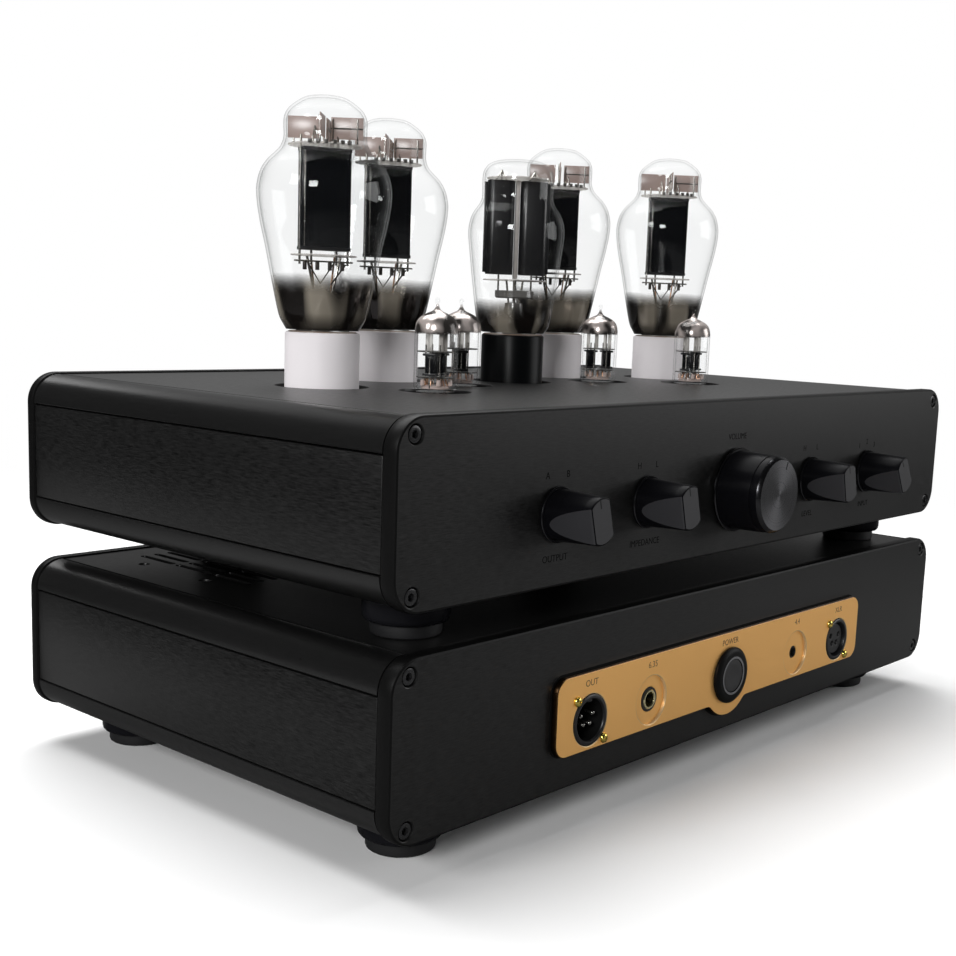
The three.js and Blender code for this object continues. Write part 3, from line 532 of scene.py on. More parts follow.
class Maker:
    """Collects the faces of one visible piece, in millimetres."""

    def __init__(self):
        self.mesh = bmesh.new()
        self.finishes = []

    def slot_of(self, finish):
        if finish not in self.finishes:
            self.finishes.append(finish)
        return self.finishes.index(finish)

    def point(self, x, y, z):
        return self.mesh.verts.new((x * MM, y * MM, z * MM))

    def face(self, corners, finish, smooth=True):
        unique = list(dict.fromkeys(corners))
        if len(unique) < 3:
            return
        made = self.mesh.faces.new(unique)
        made.material_index = self.slot_of(finish)
        made.smooth = smooth

    def bridge(self, first, second, finish, closed=True, smooth=True):
        count = len(first)
        for i in range(count if closed else count - 1):
            j = (i + 1) % count
            self.face([first[i], first[j], second[j], second[i]], finish, smooth)

    def turned(self, profile, centre, finish, facing=UP, steps=48, closed=False):
        """Turns (radius, height[, finish]) points about an axis through centre."""
        rings = []
        for point in profile:
            radius, height = point[0], point[1]
            if radius < 1e-6:
                rings.append([self.turned_point(0, height, 0, centre, facing)])
                continue
            ring = [
                self.turned_point(radius, height, 2 * math.pi * i / steps, centre, facing)
                for i in range(steps)
            ]
            rings.append(ring)
        pairs = list(zip(rings, rings[1:], profile))
        if closed:
            pairs.append((rings[-1], rings[0], profile[-1]))
        for first, second, point in pairs:
            look = point[2] if len(point) > 2 else finish
            if len(first) == 1 and len(second) == 1:
                continue
            if len(first) == 1:
                first = first * steps
            if len(second) == 1:
                second = second * steps
            self.bridge(first, second, look)

    def turned_point(self, radius, height, angle, centre, facing):
        u, v = radius * math.cos(angle), radius * math.sin(angle)
        x, y, z = centre
        if facing == UP:
            return self.point(x + u, y + v, z + height)
        sign = -1 if facing == FRONT_WARD else 1
        return self.point(x + u, y + sign * height, z + v)

    def plate(self, loops, lowest, highest, place, finish, edge=None, bevel=0.4, inner=None):
        """A flat sheet with holes. Its first loop is the outline, anticlockwise; place maps
        (u, v, depth) to x, y, z. Its rim is rounded by bevel, and its holes' rims less."""
        outlines = [loops[0]] + [list(reversed(hole)) for hole in loops[1:]]
        levels = [(0.0, 1.0), (0.3, 0.3), (1.0, 0.0)]
        fronts, ends = [], []
        for number, loop in enumerate(outlines):
            ease = min(bevel, HOLE_BEVEL) if number else bevel
            depths = [(lowest + ease * d, ease * s) for d, s in levels]
            depths += [(highest - ease * d, ease * s) for d, s in reversed(levels)]
            rings = []
            for depth, step in depths:
                points = moved_left(loop, step) if step else loop
                rings.append([self.point(*place(p.x, p.y, depth)) for p in points])
            rim = (inner if number else edge) or finish
            for first, second in zip(rings, rings[1:]):
                self.bridge(first, second, rim)
            fronts.append(rings[0])
            ends.append(rings[-1])
        self.fill_flat(fronts, finish)
        self.fill_flat(ends, finish)

    def fill_flat(self, rings, finish):
        """Fills the area between an outline and its holes."""
        edges = []
        for ring in rings:
            for ends in zip(ring, ring[1:] + ring[:1]):
                edges.append(self.mesh.edges.get(ends) or self.mesh.edges.new(ends))
        filled = bmesh.ops.triangle_fill(self.mesh, use_beauty=True, edges=edges)
        slot = self.slot_of(finish)
        for part in filled["geom"]:
            if isinstance(part, bmesh.types.BMFace):
                part.material_index = slot
                part.smooth = False

    def block(self, lowest, highest, finish, bevel=0.4, turn=0.0, about=None):
        """A block with rounded edges, turned about the upright line through about."""
        x0, y0, z0 = lowest
        x1, y1, z1 = highest
        levels = [(z0, bevel), (z0 + bevel * 0.3, bevel * 0.3), (z0 + bevel, 0.0)]
        levels += [(z1 - bevel, 0.0), (z1 - bevel * 0.3, bevel * 0.3), (z1, bevel)]
        c, s = math.cos(turn), math.sin(turn)
        ox, oy = about or ((x0 + x1) / 2, (y0 + y1) / 2)
        rings = []
        for z, step in levels:
            radius = max(bevel - step, 0.01)
            loop = rounded_loop(x0 + step, x1 - step, y0 + step, y1 - step, radius, 3)
            rings.append(
                [
                    self.point(
                        ox + (p.x - ox) * c - (p.y - oy) * s,
                        oy + (p.x - ox) * s + (p.y - oy) * c,
                        z,
                    )
                    for p in loop
                ]
            )
        for first, second in zip(rings, rings[1:]):
            self.bridge(first, second, finish)
        self.face(rings[0], finish, smooth=False)
        self.face(rings[-1], finish, smooth=False)

    def wire(self, points, radius, finish, sides=8):
        """A round wire along points, with flat ends."""
        path = [Vector(p) for p in points]
        rings = []
        side = None
        for i, here in enumerate(path):
            ahead = (path[min(i + 1, len(path) - 1)] - path[max(i - 1, 0)]).normalized()
            if side is None:
                side = ahead.orthogonal().normalized()
            side = (side - ahead * side.dot(ahead)).normalized()
            other = ahead.cross(side)
            rings.append(
                [
                    self.point(
                        *(
                            here
                            + side * radius * math.cos(2 * math.pi * k / sides)
                            + other * radius * math.sin(2 * math.pi * k / sides)
                        )
                    )
                    for k in range(sides)
                ]
            )
        for first, second in zip(rings, rings[1:]):
            self.bridge(first, second, finish)
        self.face(rings[0], finish, smooth=False)
        self.face(rings[-1], finish, smooth=False)

    def words(self, text, size, place, finish, depth=0.05):
        """Lettering that stands centred at place and faces the front."""
        curve = bpy.data.curves.new("words", "FONT")
        curve.body = text
        curve.size = size * MM
        curve.align_x = "CENTER"
        curve.align_y = "CENTER"
        curve.extrude = depth * MM / 2
        curve.resolution_u = 4
        curve.offset = -0.003 * size * MM
        holder = linked("words", curve)
        mesh = evaluated_mesh(holder)
        upright_turn = Matrix.Rotation(math.pi / 2, 4, "X")
        mesh.transform(Matrix.Translation(Vector(place) * MM) @ upright_turn)
        self.take(mesh, finish)
        bpy.data.objects.remove(holder)
        bpy.data.curves.remove(curve)

    def take(self, mesh, finish):
        """Adds a finished mesh, in metres."""
        slot = self.slot_of(finish)
        start = len(self.mesh.faces)
        self.mesh.from_mesh(mesh)
        self.mesh.faces.ensure_lookup_table()
        for face in self.mesh.faces[start:]:
            face.material_index = slot
            face.smooth = True
        bpy.data.meshes.remove(mesh)

    def merge(self):
        bmesh.ops.remove_doubles(self.mesh, verts=self.mesh.verts, dist=SAME_POINT)

    def finished(self, name, body, slot, replaces=()):
        """Makes the piece an object that rides a body, in place of the nodes it replaces."""
        self.merge()
        bmesh.ops.recalc_face_normals(self.mesh, faces=self.mesh.faces)
        mesh = flat_kept(self.mesh, name, PIECE_SHARP)
        for finish in self.finishes:
            mesh.materials.append(finish)
        made = linked(name, mesh)
        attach(made, body)
        if replaces:
            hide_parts(*replaces)
        return made


def upright(u, v, depth):
    """Places an outline drawn in x and z, with its depth along y."""
    return (u, depth, v)


def level(u, v, depth):
    """Places an outline drawn in x and y, with its depth along z."""
    return (u, v, depth)


# ------------------------------------------------------------------ boxes

BOXES = ("supply", "amplifier")
CORNER_RADIUS = 14.0
SCREW_FROM_SIDE = 9.5
SCREW_FROM_EDGE = 7.0
SCREW_HOLE_RADIUS = 3.9
RAIL_RADIUS = 13.0
RAIL_LEG = 13.5
RAIL_PORT = (8.5, 6.0)  # the screw port's place in from the side and down from the top
SEAM = 0.5
PANEL_SEAM = 0.7
SIDE_SKIN = 2.8
SIDE_TONGUE = (2.9, 4.6)
KNOB_NODES = (
    "output_selector_knob",
    "impedance_selector_knob",
    "volume_knob",
    "level_selector_knob",
    "input_selector_knob",
)
BASE_NODES = [f"triode_{i}_base" for i in (1, 2, 3, 4)] + ["rectifier_base"]
DRIVER_NODES = [f"driver_valve_{i}" for i in (1, 2, 3, 4)]


def screw_places(lowest, highest):
    """The four corner screws of an end plate, as (x, z)."""
    return [
        (x, z)
        for x in (lowest.x + SCREW_FROM_SIDE, highest.x - SCREW_FROM_SIDE)
        for z in (lowest.z + SCREW_FROM_EDGE, highest.z - SCREW_FROM_EDGE)
    ]


def end_plate(box, name, holes):
    """A thick brushed plate at the front or the rear, with its screw holes and others."""
    node = f"{box}_{name}"
    lowest, highest = low(node), high(node)
    outline = rounded_loop(lowest.x, highest.x, lowest.z, highest.z, CORNER_RADIUS, 20)
    loops = [outline]
    loops += [circle_loop(x, z, SCREW_HOLE_RADIUS, 32) for x, z in screw_places(lowest, highest)]
    loops += holes
    plate = Maker()
    plate.plate(loops, lowest.y, highest.y, upright, BLACK_ALONG_X, EDGE_BLACK, 1.1)
    plate.finished(f"{node}_brushed", box, "black_anodised", [node])


def rail_profile():
    """One rail's outline from its side edge round the corner, as distances in from the side and
    down from the top. It is a closed angle with a screw port."""
    ease = 0.35
    outer = [Vector((ease, RAIL_LEG)), Vector((0, RAIL_LEG - ease))]
    outer += arc(RAIL_RADIUS, RAIL_RADIUS, RAIL_RADIUS, 180, 270, 20)
    outer += [Vector((RAIL_LEG - ease, 0)), Vector((RAIL_LEG, ease))]
    inner = [
        Vector((RAIL_LEG, 3.3)),
        Vector((RAIL_LEG + 4, 3.3)),
        Vector((RAIL_LEG + 4, 5.3)),
        Vector((12.9, 5.3)),
        *arc(*RAIL_PORT, 4.0, 0, 90, 6),
        Vector((2.5, 10.0)),
        Vector((2.5, RAIL_LEG)),
    ]
    return outer + inner


def rails(box):
    for side_name, side in (("left", -1), ("right", 1)):
        for level_name, up in (("top", 1), ("bottom", -1)):
            node = f"{box}_rail_{level_name}_{side_name}"
            lowest, highest = low(node), high(node)
            edge = highest.x if side > 0 else lowest.x
            face = highest.z if up > 0 else lowest.z
            loop = [Vector((edge - side * p.x, face - up * p.y)) for p in rail_profile()]
            port = circle_loop(edge - side * RAIL_PORT[0], face - up * RAIL_PORT[1], 1.6, 12)
            if side * up > 0:
                loop.reverse()
            rail = Maker()
            ends = (lowest.y + SEAM, highest.y - SEAM)
            rail.plate([loop, port], *ends, upright, RAIL_BLACK, RAIL_BLACK, 0.3)
            rail.finished(f"{node}_extrusion", box, "black_anodised", [node])


def side_panels(box):
    """Each side's flat face, and behind it the tongue that sits in the rails' grooves."""
    for side_name, side in (("left", -1), ("right", 1)):
        node = f"{box}_side_{side_name}"
        lowest, highest = low(node), high(node)
        panel = Maker()
        outer = highest.x if side > 0 else lowest.x
        faces = sorted((outer, outer - side * SIDE_SKIN))
        inner = sorted(outer - side * depth for depth in SIDE_TONGUE)
        ends = (lowest.y + SEAM, highest.y - SEAM)
        under = low(f"{box}_rail_bottom_{side_name}").z + RAIL_LEG + PANEL_SEAM
        over = high(f"{box}_rail_top_{side_name}").z - RAIL_LEG - PANEL_SEAM
        panel.block((faces[0], ends[0], under), (faces[1], ends[1], over), BLACK_ALONG_Y, 0.3)
        # The tongue is painted shade black, for the dark seams where it shows between panel and
        # rails.
        panel.block((inner[0], *lowest.yz), (inner[1], *highest.yz), SHADE_BLACK, 0.2)
        panel.finished(f"{node}_brushed", box, "black_anodised", [node])


def flat_panel(node, box, holes, name):
    """A top or bottom sheet that lies between the rails."""
    lowest, highest = low(node), high(node)
    left, right = lowest.x + 0.2, highest.x - 0.2
    outline = rounded_loop(left, right, lowest.y + SEAM, highest.y - SEAM, 0.3, 2)
    panel = Maker()
    panel.plate([outline, *holes], lowest.z, highest.z, level, BLACK_ALONG_X, EDGE_BLACK, 0.45)
    panel.finished(name, box, "black_anodised", [node])


VENT_OUTER_X = 176.5  # the outer row of slots, from the middle of the box
VENT_PITCH_X = 7.75
VENT_PITCH_Y = 29.6
VENT_ROWS = 4
VENT_LENGTH = 27.0
VENT_WIDTH = 3.0
VENT_MIDDLE = 189.0  # the middle of a bank, from the front of the front plate
VENT_ROUND_HOLE = 2.6
VENT_ROUND_PLACE = (11.2, 24.5)  # out from the outer row, and along from the bank's middle


def vent_loops():
    """The two banks of slots, each with two round holes outside it."""
    middle_y = low("supply_front_plate").y + VENT_MIDDLE
    out, along = VENT_ROUND_PLACE
    loops = []
    for side in (-1, 1):
        for row in range(VENT_ROWS):
            x = side * (VENT_OUTER_X - row * VENT_PITCH_X)
            for column in (-1, 0, 1):
                y = middle_y + column * VENT_PITCH_Y
                loops.append(slot_loop(x, y, VENT_LENGTH, VENT_WIDTH))
        for y in (-along, along):
            x = side * (VENT_OUTER_X + out)
            loops.append(circle_loop(x, middle_y + y, VENT_ROUND_HOLE, 24))
    return loops


LARGE_HOLE_RADIUS = 22.0
SMALL_HOLE_RADIUS = 17.0


def valve_holes():
    sizes = [(node, LARGE_HOLE_RADIUS, 64) for node in BASE_NODES]
    sizes += [(node, SMALL_HOLE_RADIUS, 56) for node in DRIVER_NODES]
    return [circle_loop(*middle(node).xy, radius, steps) for node, radius, steps in sizes]


def foot_screw_holes(box):
    return [circle_loop(*middle(node).xy, 2.1, 16) for node in foot_nodes(box)]


def foot_nodes(box):
    return [f"{box}_foot_{e}_{s}" for e in ("front", "back") for s in ("left", "right")]


def feet(box):
    """Turned feet, open in the middle for their screws, on a stepped rubber end."""
    for node in foot_nodes(box):
        base, top = low(node), high(node).z
        height = top - base.z
        foot = Maker()
        profile = [
            (0, height),
            (0, 9.0),
            (4.5, 9.0),
            (4.5, 0.4, FOOT_RUBBER),
            (4.9, 0.0, FOOT_RUBBER),
            (11.4, 0.0, FOOT_RUBBER),
            (11.7, 0.3, FOOT_RUBBER),
            (12.2, 0.3, FOOT_RUBBER),
            (12.5, 0.0, FOOT_RUBBER),
            (13.6, 0.0, FOOT_RUBBER),
            (14.3, 0.5, FOOT_RUBBER),
            (14.6, 1.4, FOOT_RUBBER),
            (14.6, 5.4),
            (15.6, 5.5),
            (16.9, 6.0),
            (17.7, 7.0),
            (18.0, 8.4),
            (18.0, height - 0.5),
            (17.5, height),
            (0, height),
        ]
        foot.turned(profile, (middle(node).x, middle(node).y, base.z), FOOT_BLACK, UP, 64)
        foot.finished(f"{node}_turned", box, "foot_black", [node])


# ------------------------------------------------------------------ repeated pieces


def repeat_tree():
    """A node tree that puts a piece at every point of a mesh, sized and turned, with one finish."""
    tree = bpy.data.node_groups.new("repeat_at_points", "GeometryNodeTree")
    face = tree.interface
    face.new_socket("Points", in_out="INPUT", socket_type="NodeSocketGeometry")
    face.new_socket("Piece", in_out="INPUT", socket_type="NodeSocketObject")
    face.new_socket("Size", in_out="INPUT", socket_type="NodeSocketFloat").default_value = 1.0
    face.new_socket("Turn", in_out="INPUT", socket_type="NodeSocketVector")
    face.new_socket("Finish", in_out="INPUT", socket_type="NodeSocketMaterial")
    face.new_socket("Geometry", in_out="OUTPUT", socket_type="NodeSocketGeometry")
    start = tree.nodes.new("NodeGroupInput").outputs
    end = tree.nodes.new("NodeGroupOutput").inputs
    info = tree.nodes.new("GeometryNodeObjectInfo")
    place = tree.nodes.new("GeometryNodeInstanceOnPoints")
    realize = tree.nodes.new("GeometryNodeRealizeInstances")
    paint = tree.nodes.new("GeometryNodeSetMaterial")
    links = tree.links
    links.new(start["Piece"], info.inputs["Object"])
    links.new(start["Points"], place.inputs["Points"])
    links.new(info.outputs["Geometry"], place.inputs["Instance"])
    links.new(start["Turn"], place.inputs["Rotation"])
    links.new(start["Size"], place.inputs["Scale"])
    links.new(place.outputs["Instances"], realize.inputs["Geometry"])
    links.new(realize.outputs["Geometry"], paint.inputs["Geometry"])
    links.new(start["Finish"], paint.inputs["Material"])
    links.new(paint.outputs["Geometry"], end["Geometry"])
    return tree


REPEAT = repeat_tree()
FACES_FRONT = (math.pi / 2, 0.0, 0.0)
FACES_BACK = (-math.pi / 2, 0.0, 0.0)
FACES_DOWN = (math.pi, 0.0, 0.0)


def hidden_pattern(maker):
    """The maker's mesh as an object to be repeated and then removed."""
    bmesh.ops.recalc_face_normals(maker.mesh, faces=maker.mesh.faces)
    return linked("pattern", flat_kept(maker.mesh, "pattern", PATTERN_SHARP))


def pattern(profile, steps):
    """A small turned piece at the origin, facing up, to be repeated."""
    maker = Maker()
    maker.turned(profile, (0, 0, 0), None, UP, steps)
    maker.merge()
    return hidden_pattern(maker)


def repeated(name, body, slot, points, piece, finish, turn, size=1.0):
    """One mesh with the piece at every point."""
    mesh = bpy.data.meshes.new(name)
    mesh.from_pydata([tuple(c * MM for c in p) for p in points], [], [])
    carrier = linked(name, mesh)
    modifier = carrier.modifiers.new("repeat", "NODES")
    modifier.node_group = REPEAT
    sockets = {
        item.name: item.identifier
        for item in REPEAT.interface.items_tree
        if item.in_out == "INPUT"
    }
    modifier[sockets["Piece"]] = piece
    modifier[sockets["Size"]] = size
    modifier[sockets["Turn"]] = turn
    modifier[sockets["Finish"]] = finish
    result = evaluated_mesh(carrier)
    result.name = name
    carrier.modifiers.remove(modifier)
    carrier.data = result
    bpy.data.meshes.remove(mesh)
    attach(carrier, body)
    return carrier


def socket_screw(head_radius, head_height, socket_radius, socket_depth, seat_radius, seat_depth):
    """A socket head screw on its seat. Its top is at height 0."""
    maker = Maker()
    steps = 36
    rim = [
        (0, -seat_depth - 0.4),
        (seat_radius, -seat_depth - 0.4),
        (seat_radius, -seat_depth),
        (head_radius + 0.05, -seat_depth),
        (head_radius, -head_height + 0.4),
        (head_radius, -0.35),
        (head_radius - 0.12, -0.1),
        (head_radius - 0.4, 0.0),
        (socket_radius + 0.35, 0.0),
    ]
    maker.turned(rim, (0, 0, 0), None, UP, steps)
    maker.mesh.verts.ensure_lookup_table()
    reach = (socket_radius + 0.4) * MM
    edge = [v for v in maker.mesh.verts if abs(v.co.z) < 1e-9 and v.co.xy.length < reach]
    edge.sort(key=lambda v: math.atan2(v.co.y, v.co.x))
    hexes = []
    half_side = math.radians(30)
    for depth in (0.0, -socket_depth):
        ring = []
        for v in edge:
            turn = math.atan2(v.co.y, v.co.x)
            sector = (turn - half_side) % (2 * half_side) - half_side
            radius = socket_radius * math.cos(half_side) / math.cos(sector)
            ring.append(maker.point(radius * math.cos(turn), radius * math.sin(turn), depth))
        hexes.append(ring)
    maker.bridge(edge, hexes[0], None)
    maker.bridge(hexes[0], hexes[1], None)
    maker.face(hexes[1], None, smooth=False)
    return hidden_pattern(maker)


def corner_screws():
    screw = socket_screw(3.3, 3.0, 1.75, 1.8, 3.75, 2.4)
    sunk = 0.5
    for box in BOXES:
        for end, inward, turn in (("front", 1, FACES_FRONT), ("rear", -1, FACES_BACK)):
            node = f"{box}_{end}_plate"
            lowest, highest = low(node), high(node)
            face = lowest.y if inward > 0 else highest.y
            points = [(x, face + inward * sunk, z) for x, z in screw_places(lowest, highest)]
            name = f"{box}_{end}_corner_screws"
            repeated(name, box, "black_anodised", points, screw, SCREW_BLACK, turn)
    bpy.data.objects.remove(screw)


def foot_screws():
    screw = socket_screw(3.2, 2.6, 1.6, 1.5, 4.3, 2.6)
    for box in BOXES:
        points = [(*middle(n).xy, low(n).z + 6.0) for n in foot_nodes(box)]
        name = f"{box}_foot_screws"
        repeated(name, box, "foot_black", points, screw, SCREW_BLACK, FACES_DOWN)
    bpy.data.objects.remove(screw)


# ------------------------------------------------------------------ knobs

FRONT = low("supply_front_plate").y
SELECTOR_REACH = 24.0
SELECTOR_BODY_RADIUS = 10.8
SELECTOR_TIP_HALF_WIDTH = 6.2
SELECTOR_START = 2.2
SELECTOR_FLAT_START = 4.5
SELECTOR_EASE = 0.7
VOLUME_REACH = 24.8
LETTER_HEIGHT = 4.1
KNOB_ARC_STEPS = 18
KNOB_FLAT_STEPS = 10
REST_ANGLES = {
    "output_selector_knob": -15.0,
    "impedance_selector_knob": -15.0,
    "level_selector_knob": -15.0,
    "input_selector_knob": -30.0,
    "volume_knob": 21.0,
}


def knob_centre(node):
    return middle(node).x, middle(node).z


def shaft_points(node):
    """The knob's shaft, from its inner end out to the plate."""
    back = -(high(node).y - FRONT)
    return [(0, back), (3.0, back), (3.0, 0.8)]


def knob_turned(u, v, node):
    """A point of a knob's face, turned clockwise from upright to where the knob rests."""
    angle = math.radians(REST_ANGLES[node])
    c, s = math.cos(angle), math.sin(angle)
    return (u * c + v * s, -u * s + v * c)


def index_mark(knob, node, half_width, reach, outer, inner):
    """The line on a knob's face. reach is how far from the centre it starts and ends, and outer
    and inner are its two faces' distances from the plate."""
    x, z = knob_centre(node)
    start, end = reach
    corners = ((-half_width, start), (half_width, start), (half_width, end), (-half_width, end))
    turned = [knob_turned(u, v, node) for u, v in corners]
    front = [knob.point(x + u, FRONT - outer, z + v) for u, v in turned]
    back = [knob.point(x + u, FRONT - inner, z + v) for u, v in turned]
    knob.face(front, INDEX_MARK, smooth=False)
    knob.face(back, INDEX_MARK, smooth=False)
    knob.bridge(front, back, INDEX_MARK, smooth=False)


def selector_section(distance):
    """Radius of the round body and half width between the flats at a distance from the plate."""
    share = (distance - SELECTOR_START) / (SELECTOR_REACH - SELECTOR_START)
    radius = SELECTOR_BODY_RADIUS - 1.0 * share
    flat_share = (distance - SELECTOR_FLAT_START) / (SELECTOR_REACH - SELECTOR_FLAT_START)
    narrowed = (SELECTOR_TIP_HALF_WIDTH - SELECTOR_BODY_RADIUS) * max(flat_share, 0.0)
    return radius, SELECTOR_BODY_RADIUS + narrowed


def selector_outline(distance, shrink):
    """A section of the body: an arc above and one below, joined by two flats."""
    radius, half = selector_section(distance)
    radius -= shrink
    half = min(half - shrink, radius * 0.9995)
    spread = math.asin(half / radius)
    points = []
    for sign in (1, -1):
        for i in range(KNOB_ARC_STEPS + 1):
            t = -spread + 2 * spread * i / KNOB_ARC_STEPS
            points.append((sign * radius * math.sin(t), sign * radius * math.cos(t)))
        start_v = sign * radius * math.cos(spread)
        for i in range(1, KNOB_FLAT_STEPS):
            v = start_v * (1 - 2 * i / KNOB_FLAT_STEPS)
            bulge = math.sqrt(max(radius * radius - v * v, 0.0))
            points.append((sign * min(half, bulge), v))
    return points


def selector_stations():
    """Distances from the plate where the body has a section, and how much each is drawn in."""
    body = (2.25, 3.2, 4.6, 5.06, 5.2, 5.5, 6.1, 7.0, 8.5, 10.5, 13.0, 16.0, 19.5)
    ease = SELECTOR_EASE
    rounded = [(1.0, 0.0), (0.3, 0.3), (0.07, 0.65), (0.0, 1.0)]
    return [(d, 0.0) for d in body] + [
        (SELECTOR_REACH - back * ease, drawn * ease) for back, drawn in rounded
    ]


def selector_knob(node):
    """A pointer knob: a round skirt with a bright rim, and a body that narrows to its tip."""
    x, z = knob_centre(node)
    knob = Maker()
    skirt = [
        (11.2, 0.8),
        (11.7, 1.1),
        (11.7, 1.65, KNOB_RIM),
        (11.45, 1.95),
        (11.2, 2.2),
        (0, 2.2),
    ]
    knob.turned(shaft_points(node) + skirt, (x, FRONT, z), KNOB_BLACK, FRONT_WARD, 72)
    stations = selector_stations()
    rings = []
    for distance, shrink in stations:
        turned = [knob_turned(u, v, node) for u, v in selector_outline(distance, shrink)]
        rings.append([knob.point(x + u, FRONT - distance, z + v) for u, v in turned])
    side_steps = KNOB_ARC_STEPS + KNOB_FLAT_STEPS
    for first, second, (distance, shrink) in zip(rings, rings[1:], stations):
        for i in range(len(first)):
            j = (i + 1) % len(first)
            flat = i % side_steps >= KNOB_ARC_STEPS and distance > 5.0 and shrink == 0
            finish = KNOB_FLAT if flat else KNOB_BLACK
            knob.face([first[i], first[j], second[j], second[i]], finish, not flat)
    knob.face(rings[0], KNOB_BLACK, smooth=False)
    knob.face(rings[-1], KNOB_FLAT, smooth=False)
    index_mark(knob, node, 0.35, (5.6, 9.2), SELECTOR_REACH + 0.04, SELECTOR_REACH - 0.1)
    knob.finished(f"{node}_turned", node, "knob_black", [node])


def volume_knob():
    """A round knob with a groove near its end, a bright chamfer and a spun face."""
    node = "volume_knob"
    x, z = knob_centre(node)
    face = spun_black("volume_face", (x * MM, 0.0, z * MM), (0.016, 0.016, 0.017), 0.3)
    knob = Maker()
    body = [
        (19.6, 0.8, KNOB_RIM),
        (20.3, 1.3, KNOB_RIM),
        (20.3, 1.9, KNOB_RIM),
        (19.9, 2.3),
        (19.0, 2.4),
        (18.85, 4.0),
        (18.45, 19.0),
        (18.35, 19.3),
        (18.0, 19.4),
        (17.95, 19.9),
        (18.3, 20.1),
        (18.25, 22.6),
        (18.1, 23.1, KNOB_RIM),
        (16.9, 24.6, KNOB_RIM),
        (16.7, VOLUME_REACH, face),
        (12.0, VOLUME_REACH, face),
        (6.0, VOLUME_REACH, face),
        (0, VOLUME_REACH),
    ]
    knob.turned(shaft_points(node) + body, (x, FRONT, z), KNOB_BLACK, FRONT_WARD, 128)
    index_mark(knob, node, 0.4, (12.6, 16.4), VOLUME_REACH + 0.06, VOLUME_REACH - 0.1)
    knob.finished("volume_knob_turned", node, "knob_black", [node])


def knob_lettering():
    """Each knob's name and positions, with their places across and above its centre."""
    name_below, mark_above, mark_across = -18.3, 16.2, 6.5
    two = [(-mark_across, mark_above), (mark_across, mark_above)]
    three = [(-8.5, 14.2), (0, mark_above), (8.5, 14.2)]
    face = FRONT - 0.03
    print_on = Maker()
    for node, positions, places, name, below in (
        ("output_selector_knob", "AB", two, "OUTPUT", name_below),
        ("impedance_selector_knob", "HL", two, "IMPEDANCE", name_below),
        ("volume_knob", "", (), "VOLUME", 25.5),
        ("level_selector_knob", "HL", two, "LEVEL", name_below),
        ("input_selector_knob", "123", three, "INPUT", name_below),
    ):
        x, z = knob_centre(node)
        for text, (across, above) in [*zip(positions, places), (name, (0, below))]:
            print_on.words(text, LETTER_HEIGHT, (x + across, face, z + above), LETTER_GREY)
    print_on.finished("amplifier_front_lettering", "amplifier", "black_anodised")


# ------------------------------------------------------------------ gold panel and its sockets

GOLD_BULGE_RADIUS = 20.5
GOLD_CORNER = 7.0
GOLD_FILLET = 5.0
XLR_NODES = ("xlr_plug_output", "xlr_headphone_socket")
JACK_RECESS_RADIUS = 11.5
JACK_RECESS_DEPTH = 1.5
LARGE_JACK_HOLE = 5.75
SMALL_JACK_HOLE = 3.3


def gold_outline(lowest, highest, button_z):
    """The rounded panel with a filleted bulge under the button."""
    straight = button_z - 13.5
    drop = straight - GOLD_FILLET - button_z
    reach = math.sqrt((GOLD_BULGE_RADIUS + GOLD_FILLET) ** 2 - drop * drop)
    turn = math.degrees(math.atan2(-drop, reach))
    left = arc(-reach, button_z + drop, GOLD_FILLET, 90, turn, 8)
    bulge = arc(0, button_z, GOLD_BULGE_RADIUS, 180 + turn, 360 - turn, 28)
    right = arc(reach, button_z + drop, GOLD_FILLET, 180 - turn, 90, 8)
    radius = GOLD_CORNER
    return (
        left
        + bulge[1:-1]
        + right
        + arc(highest.x - radius, straight + radius, radius, -90, 0, 12)
        + arc(highest.x - radius, highest.z - radius, radius, 0, 90, 12)
        + arc(lowest.x + radius, highest.z - radius, radius, 90, 180, 12)
        + arc(lowest.x + radius, straight + radius, radius, 180, 270, 12)
    )


def gold_panel():
    node = "socket_panel"
    lowest, highest = low(node), high(node)
    z = middle("power_button").z
    outline = gold_outline(lowest, highest, z)
    xlr_places = [middle(name).x for name in XLR_NODES]
    large_x, small_x = middle("jack_6_35").x, middle("jack_4_4").x
    loops = [
        outline,
        *[circle_loop(x, z, 11.6, 64) for x in xlr_places],
        circle_loop(0, z, 11.4, 64),
        *[circle_loop(x, z, JACK_RECESS_RADIUS, 64) for x in (large_x, small_x)],
    ]
    panel = Maker()
    # The outer rim takes the dark, painted-shade gold.
    panel.plate(loops, lowest.y, highest.y, upright, GOLD_SATIN, GOLD_SHADED_EDGE, 0.45, GOLD_RIM)
    back, floor = FRONT - highest.y, FRONT - lowest.y - JACK_RECESS_DEPTH
    for x, hole in ((large_x, LARGE_JACK_HOLE), (small_x, SMALL_JACK_HOLE)):
        recess = [
            (hole, back),
            (JACK_RECESS_RADIUS, back),
            (JACK_RECESS_RADIUS, floor),
            (hole + 0.3, floor),
            (hole, floor - 0.3),
        ]
        panel.turned(recess, (x, FRONT, z), GOLD_SATIN, FRONT_WARD, 64, closed=True)
    panel.finished("socket_panel_gold", "supply", "gold_anodised", [node])
    # Painted shadow: a thin dark sheet behind the gold panel, 0.7 mm wider all round, that shows as
    # a dark border.
    painted_shadow_border = Maker()
    depths = (highest.y + 0.02, FRONT - 0.02)
    sheet = [moved_left(outline, -0.7), *loops[1:]]
    painted_shadow_border.plate(sheet, *depths, upright, SHADE_BLACK, SHADE_BLACK, 0.05)
    painted_shadow_border.finished("socket_panel_gasket", "supply", "black_anodised")


XLR_SHELL_RADIUS = 11.4
XLR_MOUTH_RADIUS = 9.2
XLR_PINS = ((-4.2, 1.9), (4.2, 1.9), (-2.3, -2.4), (2.3, -2.4))


